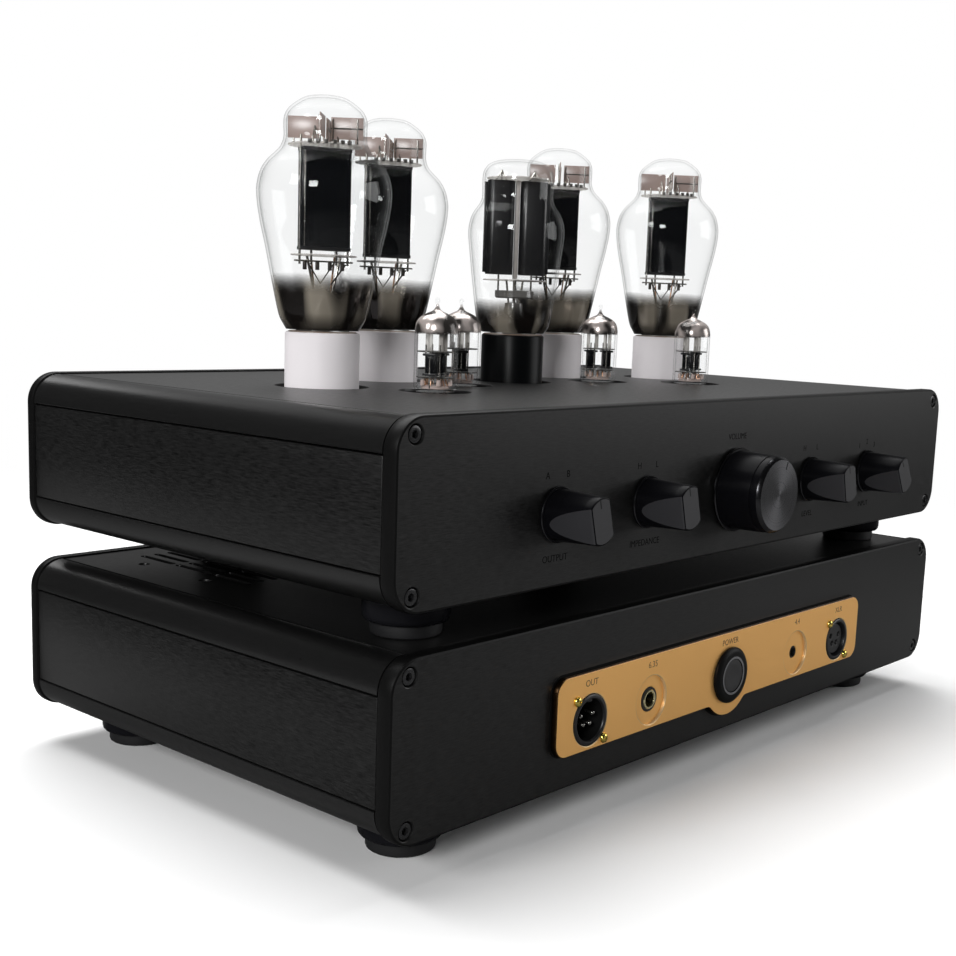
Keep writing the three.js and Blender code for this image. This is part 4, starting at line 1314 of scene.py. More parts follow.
def xlr_rim(depth):
    """The rounded front edge of either XLR shell, from its outside to its mouth."""
    return [
        (XLR_SHELL_RADIUS, depth - 0.7),
        (XLR_SHELL_RADIUS - 0.15, depth - 0.2),
        (XLR_SHELL_RADIUS - 0.5, depth),
        (9.75, depth),
        (9.4, depth - 0.3),
    ]


def xlr_plug():
    node, z = "xlr_plug_output", middle("power_button").z
    x, rim, back = middle(node).x, low(node).y, high(node).y
    depth, floor = FRONT - rim, 15.0
    cup = Maker()
    outside = [(0, FRONT - back), (XLR_SHELL_RADIUS, FRONT - back)]
    # The cup's inside is painted shade black, darker and duller than its outside.
    inside = [
        (XLR_MOUTH_RADIUS, depth - 0.9, SHADE_BLACK),
        (XLR_MOUTH_RADIUS, depth - floor, SHADE_BLACK),
        (0, depth - floor),
    ]
    profile = outside + xlr_rim(depth) + inside
    cup.turned(profile, (x, FRONT, z), PLASTIC_BLACK, FRONT_WARD, 72)
    key_low, key_high = (x - 1.6, rim + 1.0, z + 7.9), (x + 1.6, rim + 14, z + 9.6)
    cup.block(key_low, key_high, PLASTIC_BLACK, 0.3)
    cup.finished("xlr_plug_cup", "supply", "connector_black", [node])
    pin = pattern([(0, -1), (1.1, -1), (1.1, 12.3), (0.95, 12.7), (0.5, 13.1), (0, 13.2)], 20)
    places = [(x + px, rim + floor, z + pz) for px, pz in XLR_PINS]
    repeated("xlr_plug_pins", "supply", "connector_black", places, pin, PIN_GREY, FACES_FRONT)
    bpy.data.objects.remove(pin)


def xlr_socket():
    node, z = "xlr_headphone_socket", middle("power_button").z
    x, rim, back = middle(node).x, low(node).y, high(node).y
    depth = FRONT - rim
    shell = Maker()
    bore, step = 8.4, depth - 14.0
    outside = [(bore, FRONT - back), (XLR_SHELL_RADIUS, FRONT - back)]
    inside = [(XLR_MOUTH_RADIUS, depth - 0.9), (XLR_MOUTH_RADIUS, step), (bore, step)]
    profile = outside + xlr_rim(depth) + inside
    shell.turned(profile, (x, FRONT, z), PLASTIC_BLACK, FRONT_WARD, 72, closed=True)
    holes = [circle_loop(x + px, z + pz, 1.45, 24) for px, pz in XLR_PINS]
    insert = [circle_loop(x, z, 8.2, 64), *holes]
    shell.plate(insert, rim + 1.8, back, upright, INSERT_DARK, INSERT_DARK, 0.35)
    # A painted shade black disc closes the socket behind its insert.
    near, far = FRONT - back + 0.5, FRONT - back + 1.5
    bottom = [(0, near), (8.1, near), (8.1, far), (0, far)]
    shell.turned(bottom, (x, FRONT, z), SHADE_BLACK, FRONT_WARD, 48)
    latch_low, latch_high = (x - 3.2, rim + 0.6, z + 9.0), (x + 3.2, rim + 6, z + 10.6)
    shell.block(latch_low, latch_high, INSERT_GREY, 0.4)
    shell.finished("xlr_headphone_shell", "supply", "connector_black", [node])


def xlr_screws():
    """A brass screw above and to the left of each XLR, and one below and to its right."""
    z, face = middle("power_button").z, low("socket_panel").y
    head = [(2.3, 0), (2.3, 0.5), (2.0, 1.1), (1.5, 1.5), (0.9, 1.65)]
    recess = [(0.55, 1.65), (0.45, 0.7), (0, 0.6)]
    screw = pattern([(0, -2.5), (1.2, -2.5), (1.2, 0)] + head + recess, 28)
    points = []
    for x in [middle(name).x for name in XLR_NODES]:
        points += [(x - 9.6, face, z + 10.0), (x + 9.6, face, z - 10.0)]
    repeated("xlr_brass_screws", "supply", "gold_anodised", points, screw, BRASS, FACES_FRONT)
    bpy.data.objects.remove(screw)


def jack_parts():
    """The two jacks, each with a collar that fills the gap to the gold panel."""
    z = middle("power_button").z
    for node, bore, ring, hole, tip in (
        ("jack_6_35", 3.3, 4.6, LARGE_JACK_HOLE, JACK_GOLD),
        ("jack_4_4", 2.2, 2.9, SMALL_JACK_HOLE, PLASTIC_BLACK),
    ):
        x, reach = middle(node).x, FRONT - low(node).y
        back = FRONT - high(node).y
        jack = Maker()
        jack.turned(
            [
                (bore, back + 4, PLASTIC_BLACK),
                (bore, reach - 6.0, tip),
                (bore, reach - 0.5, tip),
                (bore + 0.35, reach, tip),
                (ring - 0.35, reach, tip),
                (ring, reach - 0.35, PLASTIC_BLACK),
                (ring, -7.8),
                (7.6, -7.8),
                (7.6, back),
                (0, back),
                # A painted shade black floor closes the bore.
                (0, back + 3.8, SHADE_BLACK),
                (bore, back + 3.8, SHADE_BLACK),
            ],
            (x, FRONT, z),
            PLASTIC_BLACK,
            FRONT_WARD,
            48,
            closed=True,
        )
        near, far, inner, outer = reach - 1.6, reach - 0.5, ring + 0.06, hole - 0.05
        collar = [(inner, near), (outer, near), (outer, far), (inner, far)]
        jack.turned(collar, (x, FRONT, z), PLASTIC_BLACK, FRONT_WARD, 48, closed=True)
        jack.finished(f"{node}_ring", "supply", "jack_gold", [node])


def power_parts():
    """The round bezel with its grey ring, and the button that rides its own body."""
    node = "power_switch"
    z = middle("power_button").z
    front = FRONT - low(node).y
    back = FRONT - high(node).y
    bezel = Maker()
    bezel.turned(
        [
            (4.0, back),
            (11.0, back),
            (11.0, 3.6),
            (13.7, 3.6),
            (14.0, 3.9),
            (14.0, front - 1.9),
            (13.8, front - 1.2),
            (12.9, front - 0.4),
            (11.6, front - 0.05),
            (10.9, front),
            (9.6, front - 0.03),
            (9.5, front, RING_GREY),
            (8.55, front, RING_GREY),
            (8.45, front - 0.1),
            (8.4, front - 0.4),
            (8.4, front - 7.5),
            (4.0, front - 7.5),
        ],
        (0, FRONT, z),
        EDGE_BLACK,
        FRONT_WARD,
        96,
        closed=True,
    )
    bezel.finished("power_bezel", "supply", "switch_black", [node])
    node = "power_button"
    front = FRONT - low(node).y
    back = FRONT - high(node).y
    button = Maker()
    button.turned(
        [
            (0, back),
            (3.0, back),
            (3.0, front - 4.0),
            (8.2, front - 4.0),
            (8.2, front - 0.5),
            (8.0, front - 0.15),
            (7.6, front - 0.05),
            (5.0, front - 0.25),
            (2.5, front - 0.38),
            (0, front - 0.42),
        ],
        (0, FRONT, z),
        INSERT_GREY,
        FRONT_WARD,
        80,
    )
    button.finished("power_button_cap", "power_button", "switch_black", [node])


def gold_lettering():
    face = low("socket_panel").y - 0.02
    words_above = 45.6
    z = low("supply_front_plate").z + words_above
    print_on = Maker()
    for node, text in (
        ("xlr_plug_output", "OUT"),
        ("jack_6_35", "6.35"),
        ("power_button", "POWER"),
        ("jack_4_4", "4.4"),
        ("xlr_headphone_socket", "XLR"),
    ):
        print_on.words(text, LETTER_HEIGHT, (middle(node).x, face, z), LETTER_ENGRAVED)
    print_on.finished("socket_panel_lettering", "supply", "gold_anodised")


# ------------------------------------------------------------------ valves

# Each bulb's outline is (radius, height above the top panel), from its tip down.
TRIODE_OUTLINE = [
    (0, 132), (5.5, 131.6), (9.7, 130.7), (13.7, 128.3), (17.2, 125.2), (18.9, 121.4),
    (19.0, 117), (19.0, 112.6), (20.4, 108.6), (23.2, 105.4), (26.4, 102.2), (29.4, 97.2),
    (30.9, 91), (30.9, 86), (30.2, 80), (28.9, 73), (26.8, 63.6), (24.9, 54), (22.9, 44),
    (21.2, 36), (19.9, 31.4), (18.2, 28.3), (17.0, 26.2),
]
RECTIFIER_OUTLINE = [
    (0, 117.5), (7, 117.2), (12.8, 116.2), (16.3, 114.3), (18.3, 111.6), (19.1, 108),
    (19.1, 102), (19.1, 97.2), (20.3, 94), (22.4, 91), (24.4, 87.4), (25.7, 82),
    (25.8, 76.7), (25.1, 70.4), (23.6, 57.7), (21.9, 45), (20.5, 35), (19.3, 30), (17.0, 26.2),
]
DRIVER_OUTLINE = [
    (0, 43.3), (0.75, 43.0), (1.15, 42.2), (0.95, 41.2), (0.7, 40.2), (0.95, 38.7),
    (2.0, 37.2), (4.4, 36.1), (7.2, 34.6), (9.2, 32.4), (10.1, 29.4), (10.25, 26),
    (10.25, 14), (10.25, 3.0), (10.0, 1.2),
]
GLASS_WALL = 1.1
BASE_SEAT = -17.0
BASE_TOP = 25.6
TRIODE_ANODE_HALF = 11.7
TRIODE_ANODE_DEEP = 3.6
DRIVER_PIN_CIRCLE = 5.95
TRIODE_TURNS = {1: -24, 2: -27, 3: -36, 4: -41}  # in degrees
DRIVER_TURNS = {1: 20, 2: 50, 3: -35, 4: 10}


def blown(name, body, slot, outline, centre, finish, replaces, bottom=None, steps=72):
    """A thin-walled bulb. Without a bottom it is open below; its rim joins the two walls."""
    outer = smooth_profile(outline, 5)
    inner = []
    for i, (radius, height) in enumerate(outer):
        before, after = outer[max(i - 1, 0)], outer[min(i + 1, len(outer) - 1)]
        run, rise = after[0] - before[0], after[1] - before[1]
        length = math.hypot(run, rise) or 1.0
        wall = GLASS_WALL if radius > 3 or slot == "valve_glass" else 0.4
        if i == 0:
            inner.append((0.0, height - wall))
        else:
            inner.append((max(radius + wall * rise / length, 0.05), height - wall * run / length))
    glass = Maker()
    if bottom is None:
        glass.turned(outer, centre, finish, UP, steps)
        glass.turned(inner, centre, finish, UP, steps)
        glass.turned([outer[-1], inner[-1]], centre, finish, UP, steps)
    else:
        glass.turned(outer + [(9.0, bottom), (0, bottom)], centre, finish, UP, steps)
        glass.turned(inner + [(8.2, bottom + 1.2), (0, bottom + 1.2)], centre, finish, UP, steps)
    glass.finished(name, body, slot, replaces)


class ValveInside(Maker):
    """A Maker that works along (u) and across (v) a valve's own turned axes, with heights from
    the top panel. A turn that is given, in radians, stands in for the valve's own."""

    def __init__(self, centre, turn_degrees):
        super().__init__()
        self.centre = centre
        self.turn = math.radians(turn_degrees)

    def spun(self, u, v, height, turn=None):
        turn = self.turn if turn is None else turn
        c, s = math.cos(turn), math.sin(turn)
        x, y, z = self.centre
        return (x + u * c - v * s, y + u * s + v * c, z + height)

    def rod(self, points, radius, finish, turn=None):
        """A wire through (u, v, height) points."""
        self.wire([self.spun(*point, turn) for point in points], radius, finish)

    def bar(self, u, v, heights, finish, bevel=0.5, turn=None):
        """A block with its two ends along, across and up."""
        x, y, z = self.centre
        lowest, highest = [(x + a, y + b, z + c) for a, b, c in zip(u, v, heights)]
        self.block(lowest, highest, finish, bevel, self.turn if turn is None else turn, (x, y))

    def lathed(self, profile, finish, steps, u=0, turn=None):
        """A piece turned about the upright line at u."""
        self.turned(profile, self.spun(u, 0, 0, turn), finish, UP, steps)

    def disc(self, radius, bottom, finish, teeth=24, thickness=0.6):
        """A thin disc whose rim has small teeth."""
        x, y, z = self.centre
        loop = []
        for i in range(teeth * 4):
            size = radius if i % 4 in (0, 1) else radius - 1.0
            t = 2 * math.pi * i / (teeth * 4)
            loop.append(Vector((x + size * math.cos(t), y + size * math.sin(t))))
        self.plate([loop], z + bottom, z + bottom + thickness, level, finish, finish, 0.08)

    def base_shell(self, finish, radius):
        """The round base, with its rim and the cement line that holds the glass."""
        profile = [
            (0, BASE_SEAT),
            (radius - 0.8, BASE_SEAT),
            (radius, BASE_SEAT + 0.8),
            (radius, 24.2),
            (radius - 0.25, 24.8),
            (radius - 0.8, 25.1),
            (16.2, 25.1, CEMENT),
            (15.4, BASE_TOP, CEMENT),
            (0, BASE_TOP),
        ]
        self.lathed(profile, finish, 72)

    def base_pins(self, count, circle, radius):
        top, end = BASE_SEAT + 1, BASE_SEAT - 12
        profile = [(0, top), (radius, top), (radius, end + 1), (radius * 0.6, end), (0, end)]
        for i in range(count):
            self.lathed(profile, NICKEL, 16, circle, math.pi / 4 + 2 * math.pi * i / count)

    def flared_stem(self, top):
        """The glass pinch that carries the supports."""
        foot = [(0, 25.8), (12.5, 25.8), (9.5, 28), (7.0, 32)]
        self.lathed(foot + [(5.2, top - 3), (4.8, top), (0, top + 0.5)], STEM_GLASS, 40)


def triode_anode(inside):
    """The flat dark anode, with a bright seam on each side and a fold at each end."""
    half, deep = TRIODE_ANODE_HALF, TRIODE_ANODE_DEEP
    inside.bar((-half, half), (-deep, deep), (62.5, 108.8), ANODE, 0.7)
    for side in (-1, 1):
        u, v = side * (half - 1.3), side * (deep + 0.1)
        inside.bar(around(u, 0.2), around(v, 0.15), (62.8, 108.5), NICKEL, 0.1)
    for v in (-deep - 0.3, deep + 0.3):
        for heights in ((107.0, 108.7), (62.6, 64.2)):
            inside.bar((-half, half), around(v, 0.3), heights, ANODE_GREY, 0.2)


def triode_supports(inside):
    """The discs above and below the anode, and the wires that hold them."""
    inside.disc(17.0, 109.4, MICA)
    inside.disc(15.2, 60.0, MICA)
    for i in range(6):
        facing = math.radians(-155 + 13 * i)
        inside.bar((15.8, 17.3), (-0.8, 0.8), (109.2, 111.0), MICA_DARK, 0.2, facing)
    inside.bar((-14, 14), (-0.6, 0.6), (57.2, 58.0), NICKEL, 0.2)
    for u in (-11.5, -6.0, 6.0, 11.5):
        inside.rod([(u, 0, 56.0), (u, 0, 114.0)], 0.55, NICKEL)
    for u in (-8.0, 8.0):
        inside.rod([(u * 0.45, 0, 40.0), (u, 0, 59.8)], 0.6, NICKEL)
    for u in (-4.0, 4.0):
        inside.rod([(u * 0.9, 1.5, 40.0), (u * 1.4, 1.5, 59.8)], 0.45, COPPER)
    for filament in ([(-9, 57.5), (-2.5, 47.5), (4.0, 57.0)], [(2.5, 47.0), (9.5, 56.5)]):
        inside.rod([(u, -3.5, height) for u, height in filament], 0.4, WIRE_DARK)
    for u in (-9.0, -3.0, 3.0, 9.0):
        inside.bar(around(u, 0.7), (-1.2, 1.2), (53.6, 57.2), WIRE_DARK, 0.2)


def triode_tabs(inside):
    """Four tabs that stand in a cross over the upper disc, and two bent wires."""
    for quarter in range(4):
        facing = math.radians(-49 + 90 * quarter)
        inside.bar((2.5, 17.3), (-0.25, 0.25), (112.8, 122.6), TAB, 0.12, facing)
        inside.rod([(2.5, -0.5, 117.6), (17.2, -0.5, 117.6)], 0.35, WIRE_DARK, facing)
        for u in (14.6, 3.4):
            inside.rod([(u, -0.3, 109.8), (u, -0.6, 121.8)], 0.45, NICKEL, facing)
    for u in (-5.0, 5.0):
        inside.rod([(u, -4.5, 110.0), (u, 0, 118.0), (u, 4.5, 110.0)], 0.45, NICKEL)


def triode_dishes(inside):
    """The two small getter dishes beside the stem."""
    dish = [(0, 33.5), (4.4, 33.5), (5.0, 34.6), (4.4, 34.2), (0, 34.2)]
    for side in (-1, 1):
        inside.lathed(dish, NICKEL, 24, side * 9.5)
        inside.rod([(side * 6.5, 0, 33.8), (side * 4.5, 0, 41.0)], 0.4, NICKEL)


def triode(number, turn_degrees):
    body = f"triode_{number}"
    base_node, glass_node = f"{body}_base", f"{body}_glass"
    centre = (*middle(base_node).xy, TOP)
    blown(f"{body}_bulb", body, "valve_glass", TRIODE_OUTLINE, centre, TRIODE_GLASS, [glass_node])
    inside = ValveInside(centre, turn_degrees)
    inside.base_shell(CERAMIC, 17.4)
    inside.base_pins(4, 8.0, 2.0)
    inside.flared_stem(43.0)
    triode_anode(inside)
    triode_supports(inside)
    triode_tabs(inside)
    triode_dishes(inside)
    inside.finished(f"{body}_base_and_electrodes", body, "ceramic_white", [base_node])


def rectifier_plate(inside, side):
    """One of the two hollow plates, with its fin, its support and the spring on top."""
    along, half, radius = side * 8.9, 7.4, 3.6
    shape = rounded_loop(*around(along, half), -4.0, 4.0, radius, 8)
    loop = [Vector(inside.spun(p.x, p.y, 0)[:2]) for p in shape]
    inside.plate([loop], TOP + 57.0, TOP + 106.5, level, ANODE_GREY, ANODE_GREY, 0.4)
    fin = along + side * (half + 0.6)
    inside.bar(around(fin, 0.9), (-0.4, 0.4), (58, 105.5), ANODE_GREY, 0.2)
    inside.rod([(along, 0, 48.0), (along, 0, 112.0)], 0.5, NICKEL)
    spring = [(along - 3, -2.5, 107), (along, 0, 111.5), (along + 3, 2.5, 107)]
    inside.rod(spring, 0.45, NICKEL)


def rectifier():
    base_node, body = "rectifier_base", "rectifier"
    centre = (*middle(base_node).xy, TOP)
    glass_node = "rectifier_glass"
    outline, look = RECTIFIER_OUTLINE, RECTIFIER_GLASS
    blown("rectifier_bulb", body, "valve_glass", outline, centre, look, [glass_node])
    inside = ValveInside(centre, -42)
    inside.base_shell(BAKELITE, 16.9)
    inside.base_pins(8, 8.7, 1.2)
    inside.flared_stem(42.0)
    for side in (-1, 1):
        rectifier_plate(inside, side)
    inside.disc(16.8, 107.2, MICA)
    inside.disc(17.2, 53.8, MICA)
    inside.bar((-1.0, 1.0), (-3.2, 3.2), (55.0, 106.6), MICA_PALE, 0.3)
    for u, v in ((-4.5, 0), (4.5, 0), (0, 3.5), (0, -3.5)):
        inside.rod([(u * 0.6, v * 0.6, 40.0), (u, v, 54.5)], 0.55, NICKEL)
    rim = [(10.5, 45.2), (10.5, 48.6), (9.9, 48.6)]
    inside.lathed([(0, 44.5), (9.5, 44.5), *rim, (9.6, 45.6), (0, 45.4)], STEM_GLASS, 48)
    inside.finished("rectifier_base_and_plates", body, "base_black", [base_node])


def driver_anodes(inside):
    """The two anodes side by side, each with a flange above and below and its supports."""
    for side in (-1, 1):
        along = side * 4.6
        inside.bar(around(along, 2.2), (-2.4, 2.4), (7.2, 17.6), ANODE, 0.4)
        for heights in ((16.4, 17.5), (7.3, 8.4)):
            inside.bar(around(along, 3.1), (-3.4, 3.4), heights, ANODE_GREY, 0.3)
        for v in (-3.6, 3.6):
            inside.rod([(side * 3.6, v, 3.0), (side * 3.6, v, 21.5)], 0.35, NICKEL)
        inside.rod([(side * 6.6, 0, 1.5), (side * 6.6, 0, 20.5)], 0.35, NICKEL)


def driver_top(inside):
    """The posts over the upper disc and the getter ring that stands on its wire."""
    post = [(0, 18.6), (1.0, 18.6), (1.0, 27.0), (0, 27.0)]
    for u, v in ((-6.3, 0), (-2.6, -3.4), (2.6, -3.4), (6.3, 0), (0, 4.5)):
        inside.turned(post, inside.spun(u, v, 0), MICA, UP, 16)
    radius, height, steps = 4.2, 26.8, 18
    turns = [2 * math.pi * k / steps for k in range(steps + 1)]
    inside.rod([(radius * math.cos(t), radius * math.sin(t), height) for t in turns], 0.5, NICKEL)
    inside.rod([(radius, 0, 18.4), (radius, 0, height)], 0.35, NICKEL)


def driver_pins(inside):
    """Nine pins on a circle of ten places, each with a copper wire inside the glass."""
    out, drawn_in = DRIVER_PIN_CIRCLE, DRIVER_PIN_CIRCLE * 0.75
    for i in range(9):
        facing = inside.turn + 2 * math.pi * i / 10
        inside.rod([(out, 0, -15.0), (out, 0, -0.6)], 0.5, NICKEL, facing)
        inside.rod([(out, 0, 1.2), (drawn_in, 0, 6.2)], 0.35, COPPER, facing)


def driver(number, turn_degrees):
    node, body = f"driver_valve_{number}", f"driver_{number}"
    centre = (*middle(node).xy, TOP)
    outline, look = DRIVER_OUTLINE, DRIVER_GLASS
    blown(f"{body}_bulb", body, "driver_glass", outline, centre, look, [node], -0.2, 56)
    inside = ValveInside(centre, turn_degrees)
    driver_anodes(inside)
    for bottom in (18.0, 6.2):
        inside.disc(8.9, bottom, MICA_DARK, teeth=14, thickness=0.5)
    foot = [(0, 1.2), (6.6, 1.2), (6.8, 1.9), (5.4, 2.8), (2.4, 2.0), (0, 2.6)]
    inside.lathed(foot, PINCH_GLASS, 40)
    bead = [(0, 2.6), (0.9, 2.6), (1.1, 3.4), (0.9, 5.4), (0, 5.6)]
    for i in range(5):
        inside.lathed(bead, PINCH_GLASS, 14, 6.9, inside.turn + i * 1.26)
    driver_top(inside)
    driver_pins(inside)
    inside.finished(f"{body}_electrodes", body, "driver_glass")


# ------------------------------------------------------------------ back


PHONO_PLACES = [(dx, dz) for dx in (-24, 0, 24) for dz in (-9, 9)]
LINK_X = 60.0
LINK_ABOVE = 37.0
INLET_EAR = 20.0


def rear_sockets():
    """Six phono sockets on one black strip."""
    node = "input_sockets"
    lowest, highest = low(node), high(node)
    face = high("amplifier_rear_plate").y
    strip = Maker()
    places = [(middle(node).x + dx, middle(node).z + dz) for dx, dz in PHONO_PLACES]
    loops = [rounded_loop(lowest.x, highest.x, lowest.z, highest.z, 4, 8)]
    loops += [circle_loop(x, z, 4.6, 32) for x, z in places]
    strip.plate(loops, face + 0.3, face + 2.3, upright, PLASTIC_BLACK, PLASTIC_BLACK, 0.3)
    flange = [(1.8, -14), (5.4, -14), (5.4, -6), (4.4, -5.5), (4.4, 2.4), (5.5, 2.4), (5.5, 4.0)]
    sleeve = [(4.3, 4.2), (4.15, 5.0), (4.15, 10.4), (3.9, 10.8), (3.3, 10.9), (3.2, 10.6)]
    bore = [(3.2, 3.5, PLASTIC_BLACK), (1.8, 3.5, PLASTIC_BLACK)]
    profile = flange + sleeve + bore
    for x, z in places:
        strip.turned(profile, (x, face, z), JACK_GOLD, BACK_WARD, 40, closed=True)
    strip.finished("input_phono_sockets", "amplifier", "jack_gold", [node])


def link_sockets():
    """The round five-pin sockets for the lead that joins the boxes."""
    body = [(0, -4.2), (7.7, -4.2), (7.7, 0.1), (10.6, 0.1), (10.6, 1.4), (9.2, 1.8)]
    collar = [(8.6, 5.4), (8.2, 5.8), (7.4, 5.8), (7.0, 5.4), (7.0, -2.6), (0, -2.6)]
    insert = [(0, -2.5), (6.6, -2.5), (6.6, 1.0), (6.2, 1.4), (0, 1.4)]
    pin = [(0, 1.2), (0.75, 1.2), (0.75, 4.4), (0.4, 4.8), (0, 4.8)]
    for box in BOXES:
        x, z = LINK_X, low(f"{box}_rear_plate").z + LINK_ABOVE
        face = high(f"{box}_rear_plate").y
        socket = Maker()
        socket.turned(body + collar, (x, face, z), NICKEL, BACK_WARD, 56)
        socket.turned(insert, (x, face, z), PLASTIC_BLACK, BACK_WARD, 48)
        for i in range(5):
            t = 2 * math.pi * i / 5
            place = (x + 3.8 * math.cos(t), face, z + 3.8 * math.sin(t))
            socket.turned(pin, place, JACK_GOLD, BACK_WARD, 16)
        socket.finished(f"{box}_link_socket", box, "connector_black")


def mains_inlet():
    """A three-pin inlet with two ears for its screws."""
    node = "mains_inlet"
    lowest, highest = low(node), high(node)
    face = high("supply_rear_plate").y + 0.3
    cx, cz = middle(node).x, middle(node).z
    inlet = Maker()
    outline = rounded_loop(lowest.x, highest.x, lowest.z, highest.z, 4, 8)
    mouth = rounded_loop(cx - 12, cx + 12, cz - 8, cz + 8, 1.5, 5)
    ears = [circle_loop(cx + s * INLET_EAR, cz, 1.7, 20) for s in (-1, 1)]
    black = PLASTIC_BLACK
    inlet.plate([outline, mouth, *ears], face, face + 2.5, upright, black, black, 0.35)
    (left, right), (under, over) = around(cx, 15), around(cz, 11)
    shell = [rounded_loop(left, right, under, over, 2, 5), mouth]
    inlet.plate(shell, face - 17, face + 0.05, upright, black, black, 0.1)
    inlet.block((left, lowest.y, under), (right, face - 17.05, over), black, 0.4)
    for dx, dz in ((-7, -2), (0, 2), (7, -2)):
        (left, right), (under, over) = around(cx + dx, 1), around(cz + dz, 2.5)
        inlet.block((left, face - 17.2, under), (right, face - 3.2, over), PIN_SILVER, 0.4)
    inlet.finished("mains_inlet_body", "supply", "connector_black", [node])
    screw = socket_screw(2.9, 2.0, 1.3, 1.2, 1.6, 2.2)
    points = [(cx + s * INLET_EAR, face + 3.2, cz) for s in (-1, 1)]
    look = (screw, SCREW_BLACK, FACES_BACK)
    repeated("mains_inlet_screws", "supply", "connector_black", points, *look)
    bpy.data.objects.remove(screw)


def kept_nodes():
    """Finishes for the solids inside that stay as they are."""
    looks = {
        "control_board": BOARD_GREEN,
        "valve_deck": DECK,
        "output_transformers": LACQUER,
        "power_transformer": LACQUER,
    }
    for node, finish in looks.items():
        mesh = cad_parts[node].data
        mesh.materials.clear()
        mesh.materials.append(finish)


# ------------------------------------------------------------------ assembly


def front_holes(box):
    """Where shafts and sockets pass through a front plate."""
    if box == "amplifier":
        return [circle_loop(*knob_centre(n), 3.8, 28) for n in KNOB_NODES]
    z = middle("power_button").z
    sizes = [(name, 11.8) for name in XLR_NODES] + [("jack_6_35", 5.3), ("jack_4_4", 3.5)]
    holes = [circle_loop(middle(name).x, z, radius, 40) for name, radius in sizes]
    return holes + [circle_loop(0, z, 11.3, 40)]


def rear_holes(box):
    """Where sockets pass through a rear plate."""
    z = low(f"{box}_rear_plate").z + LINK_ABOVE
    holes = [circle_loop(LINK_X, z, 8.0, 48)]
    if box == "supply":
        x = middle("mains_inlet").x
        return holes + [rounded_loop(x - 16, x + 16, z - 12, z + 12, 1, 3)]
    x = middle("input_sockets").x
    return holes + [circle_loop(x + dx, z + dz, 6.5, 32) for dx, dz in PHONO_PLACES]


def build():
    for box in BOXES:
        end_plate(box, "front_plate", front_holes(box))
        end_plate(box, "rear_plate", rear_holes(box))
        rails(box)
        side_panels(box)
        feet(box)
        flat_panel(f"{box}_bottom_panel", box, foot_screw_holes(box), f"{box}_bottom_brushed")
    flat_panel("supply_top_panel", "supply", vent_loops(), "supply_top_vented")
    flat_panel("amplifier_top_panel", "amplifier", valve_holes(), "amplifier_top_drilled")
    corner_screws()
    foot_screws()
    for node in KNOB_NODES:
        if node != "volume_knob":
            selector_knob(node)
    volume_knob()
    knob_lettering()
    gold_panel()
    xlr_plug()
    xlr_socket()
    xlr_screws()
    jack_parts()
    power_parts()
    gold_lettering()
    for number, turn in TRIODE_TURNS.items():
        triode(number, turn)
    rectifier()
    for number, turn in DRIVER_TURNS.items():
        driver(number, turn)
    rear_sockets()
    link_sockets()
    mains_inlet()
    kept_nodes()


build()

# ------------------------------------------------------------------ studio

CAMERA_PLACE = Vector((-556.61, -466.69, 221.58)) * MM
YAW, PITCH, ROLL = 0.860, 0.156, 0.039
ROOM_DARK = 0.04
ROOM_GLOW = 0.3
GLOW_TOWARD = (0.758, 0.652, 0.0)
FLOOR_RADIUS = 1.6
FLOOR_HEIGHT = -0.0002


def studio_camera():
    """The camera at the front left, a little above the amplifier's top."""
    ahead = Vector(
        (math.sin(YAW) * math.cos(PITCH), math.cos(YAW) * math.cos(PITCH), -math.sin(PITCH))
    )
    side = ahead.cross(Vector((0, 0, 1))).normalized()
    over = side.cross(ahead)
    right = math.cos(ROLL) * side + math.sin(ROLL) * over
    up = -math.sin(ROLL) * side + math.cos(ROLL) * over
    data = bpy.data.cameras.new("camera")
    data.sensor_width = 36.0
    data.lens = 51.01
    data.shift_x = -0.0492
    data.shift_y = 0.0414
    data.clip_start = 0.02
    camera = linked("camera", data)
    turned = Matrix((right, up, -ahead)).transposed().to_4x4()
    camera.matrix_world = Matrix.Translation(CAMERA_PLACE) @ turned
    bpy.context.scene.camera = camera


def softbox(name, place, aim, width, height, brightness):
    """A soft light. Its brightness is that of its face, so it doesn't depend on the size."""
    data = bpy.data.lights.new(name, "AREA")
    data.shape = "RECTANGLE"
    data.size, data.size_y = width, height
    data.energy = brightness * math.pi * width * height
    lamp = linked(name, data)
    lamp.location = place
    lamp.rotation_euler = (Vector(aim) - Vector(place)).to_track_quat("-Z", "Y").to_euler()
    lamp.visible_camera = False


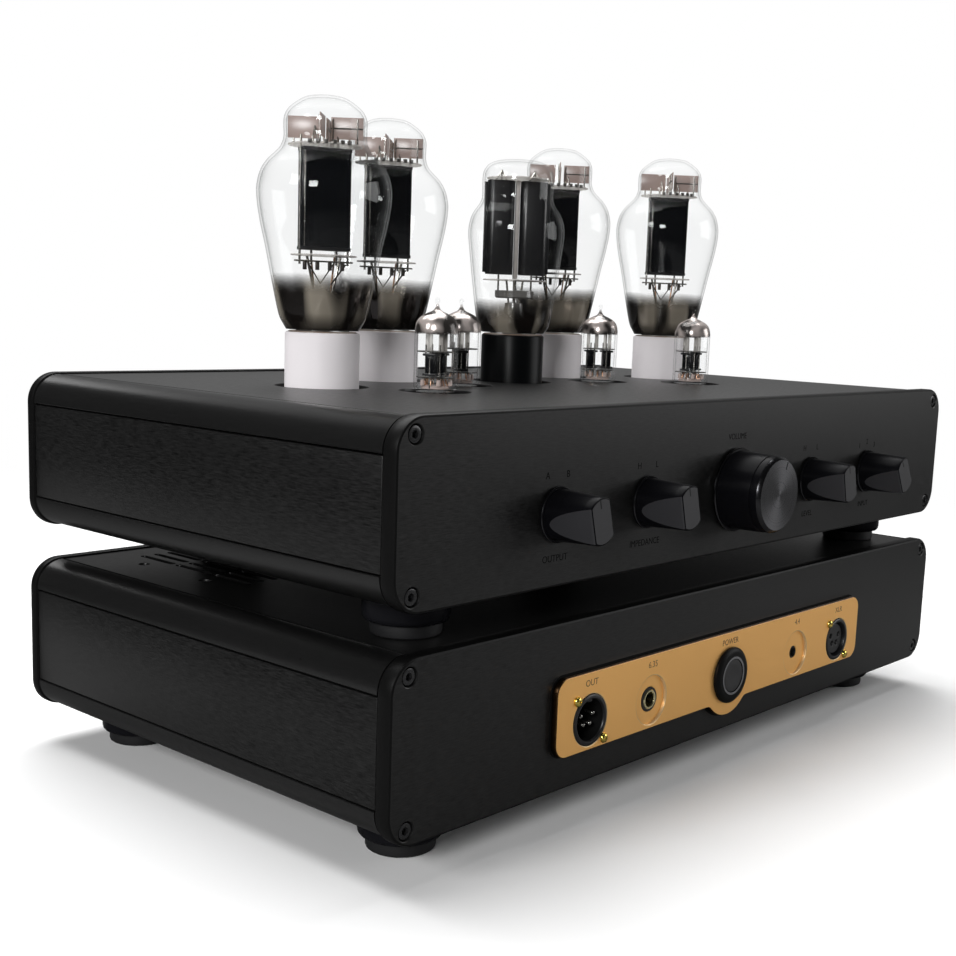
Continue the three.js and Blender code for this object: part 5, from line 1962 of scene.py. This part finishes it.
def studio_world():
    """A white backdrop for the camera, and for the object a dark room that glows on one side."""
    world = bpy.data.worlds.new("studio")
    bpy.context.scene.world = world
    world.use_nodes = True
    tree = world.node_tree
    tree.nodes.clear()
    path = tree.nodes.new("ShaderNodeLightPath")
    white = tree.nodes.new("ShaderNodeBackground")
    white.inputs["Color"].default_value = (1, 1, 1, 1)
    white.inputs["Strength"].default_value = 1.0
    room = tree.nodes.new("ShaderNodeBackground")
    room.inputs["Color"].default_value = (1, 1, 1, 1)
    direction = tree.nodes.new("ShaderNodeTexCoord")
    toward = tree.nodes.new("ShaderNodeVectorMath")
    toward.operation = "DOT_PRODUCT"
    toward.inputs[1].default_value = GLOW_TOWARD
    glow = tree.nodes.new("ShaderNodeMapRange")
    glow.inputs["From Min"].default_value = 0.55
    glow.inputs["From Max"].default_value = 1.0
    glow.inputs["To Min"].default_value = ROOM_DARK
    glow.inputs["To Max"].default_value = ROOM_GLOW
    tree.links.new(direction.outputs["Generated"], toward.inputs[0])
    tree.links.new(toward.outputs["Value"], glow.inputs["Value"])
    tree.links.new(glow.outputs["Result"], room.inputs["Strength"])
    mix = tree.nodes.new("ShaderNodeMixShader")
    out = tree.nodes.new("ShaderNodeOutputWorld")
    tree.links.new(path.outputs["Is Camera Ray"], mix.inputs[0])
    tree.links.new(room.outputs[0], mix.inputs[1])
    tree.links.new(white.outputs[0], mix.inputs[2])
    tree.links.new(mix.outputs[0], out.inputs["Surface"])


def studio_floor():
    """A round pale floor that fades into the backdrop."""
    finish = Finish("studio_floor")
    length = {"operation": "LENGTH"}
    distance = finish.node("ShaderNodeVectorMath", length, {0: finish.place()}, output=1)
    away = distance.ramp(0.45, 1.1)
    # Painted shade: in reflections the floor is dark grey rather than pale, so the boxes reflect a
    # dark floor.
    mirrored = finish.node("ShaderNodeLightPath", output="Is Glossy Ray")
    tone = finish.blend(mirrored, (0.95, 0.95, 0.95), (0.2, 0.2, 0.2))
    paper = finish.principled(base_color=tone, roughness=0.8, specular=0.1)
    clear = finish.node("ShaderNodeBsdfTransparent", None, {"Color": (1, 1, 1, 1)})
    finish.surface(finish.mixed(away, paper, clear))
    mesh = bpy.data.meshes.new("floor")
    ring = circle_loop(0, 0, FLOOR_RADIUS, 96)
    mesh.from_pydata([(p.x, p.y, FLOOR_HEIGHT) for p in ring], [], [list(range(len(ring)))])
    mesh.materials.append(finish.material)
    linked("floor", mesh)


def studio_lights():
    softbox("front_left_box", (-1.25, -0.62, 0.58), (0, 0, 0.2), 0.34, 0.34, 26.0)
    softbox("side_window", (-1.35, 0.12, 0.7), (0, 0, 0.25), 0.3, 0.36, 13.0)
    softbox("front_right_box", (1.15, -1.05, 0.5), (0, -0.1, 0.15), 0.9, 0.7, 3.3)
    softbox("overhead_box", (0.15, 0.45, 1.5), (0, 0.0, 0.1), 1.7, 1.3, 6.0)


studio_camera()
studio_world()
studio_floor()
studio_lights()
bpy.context.scene.view_settings.view_transform = "Standard"
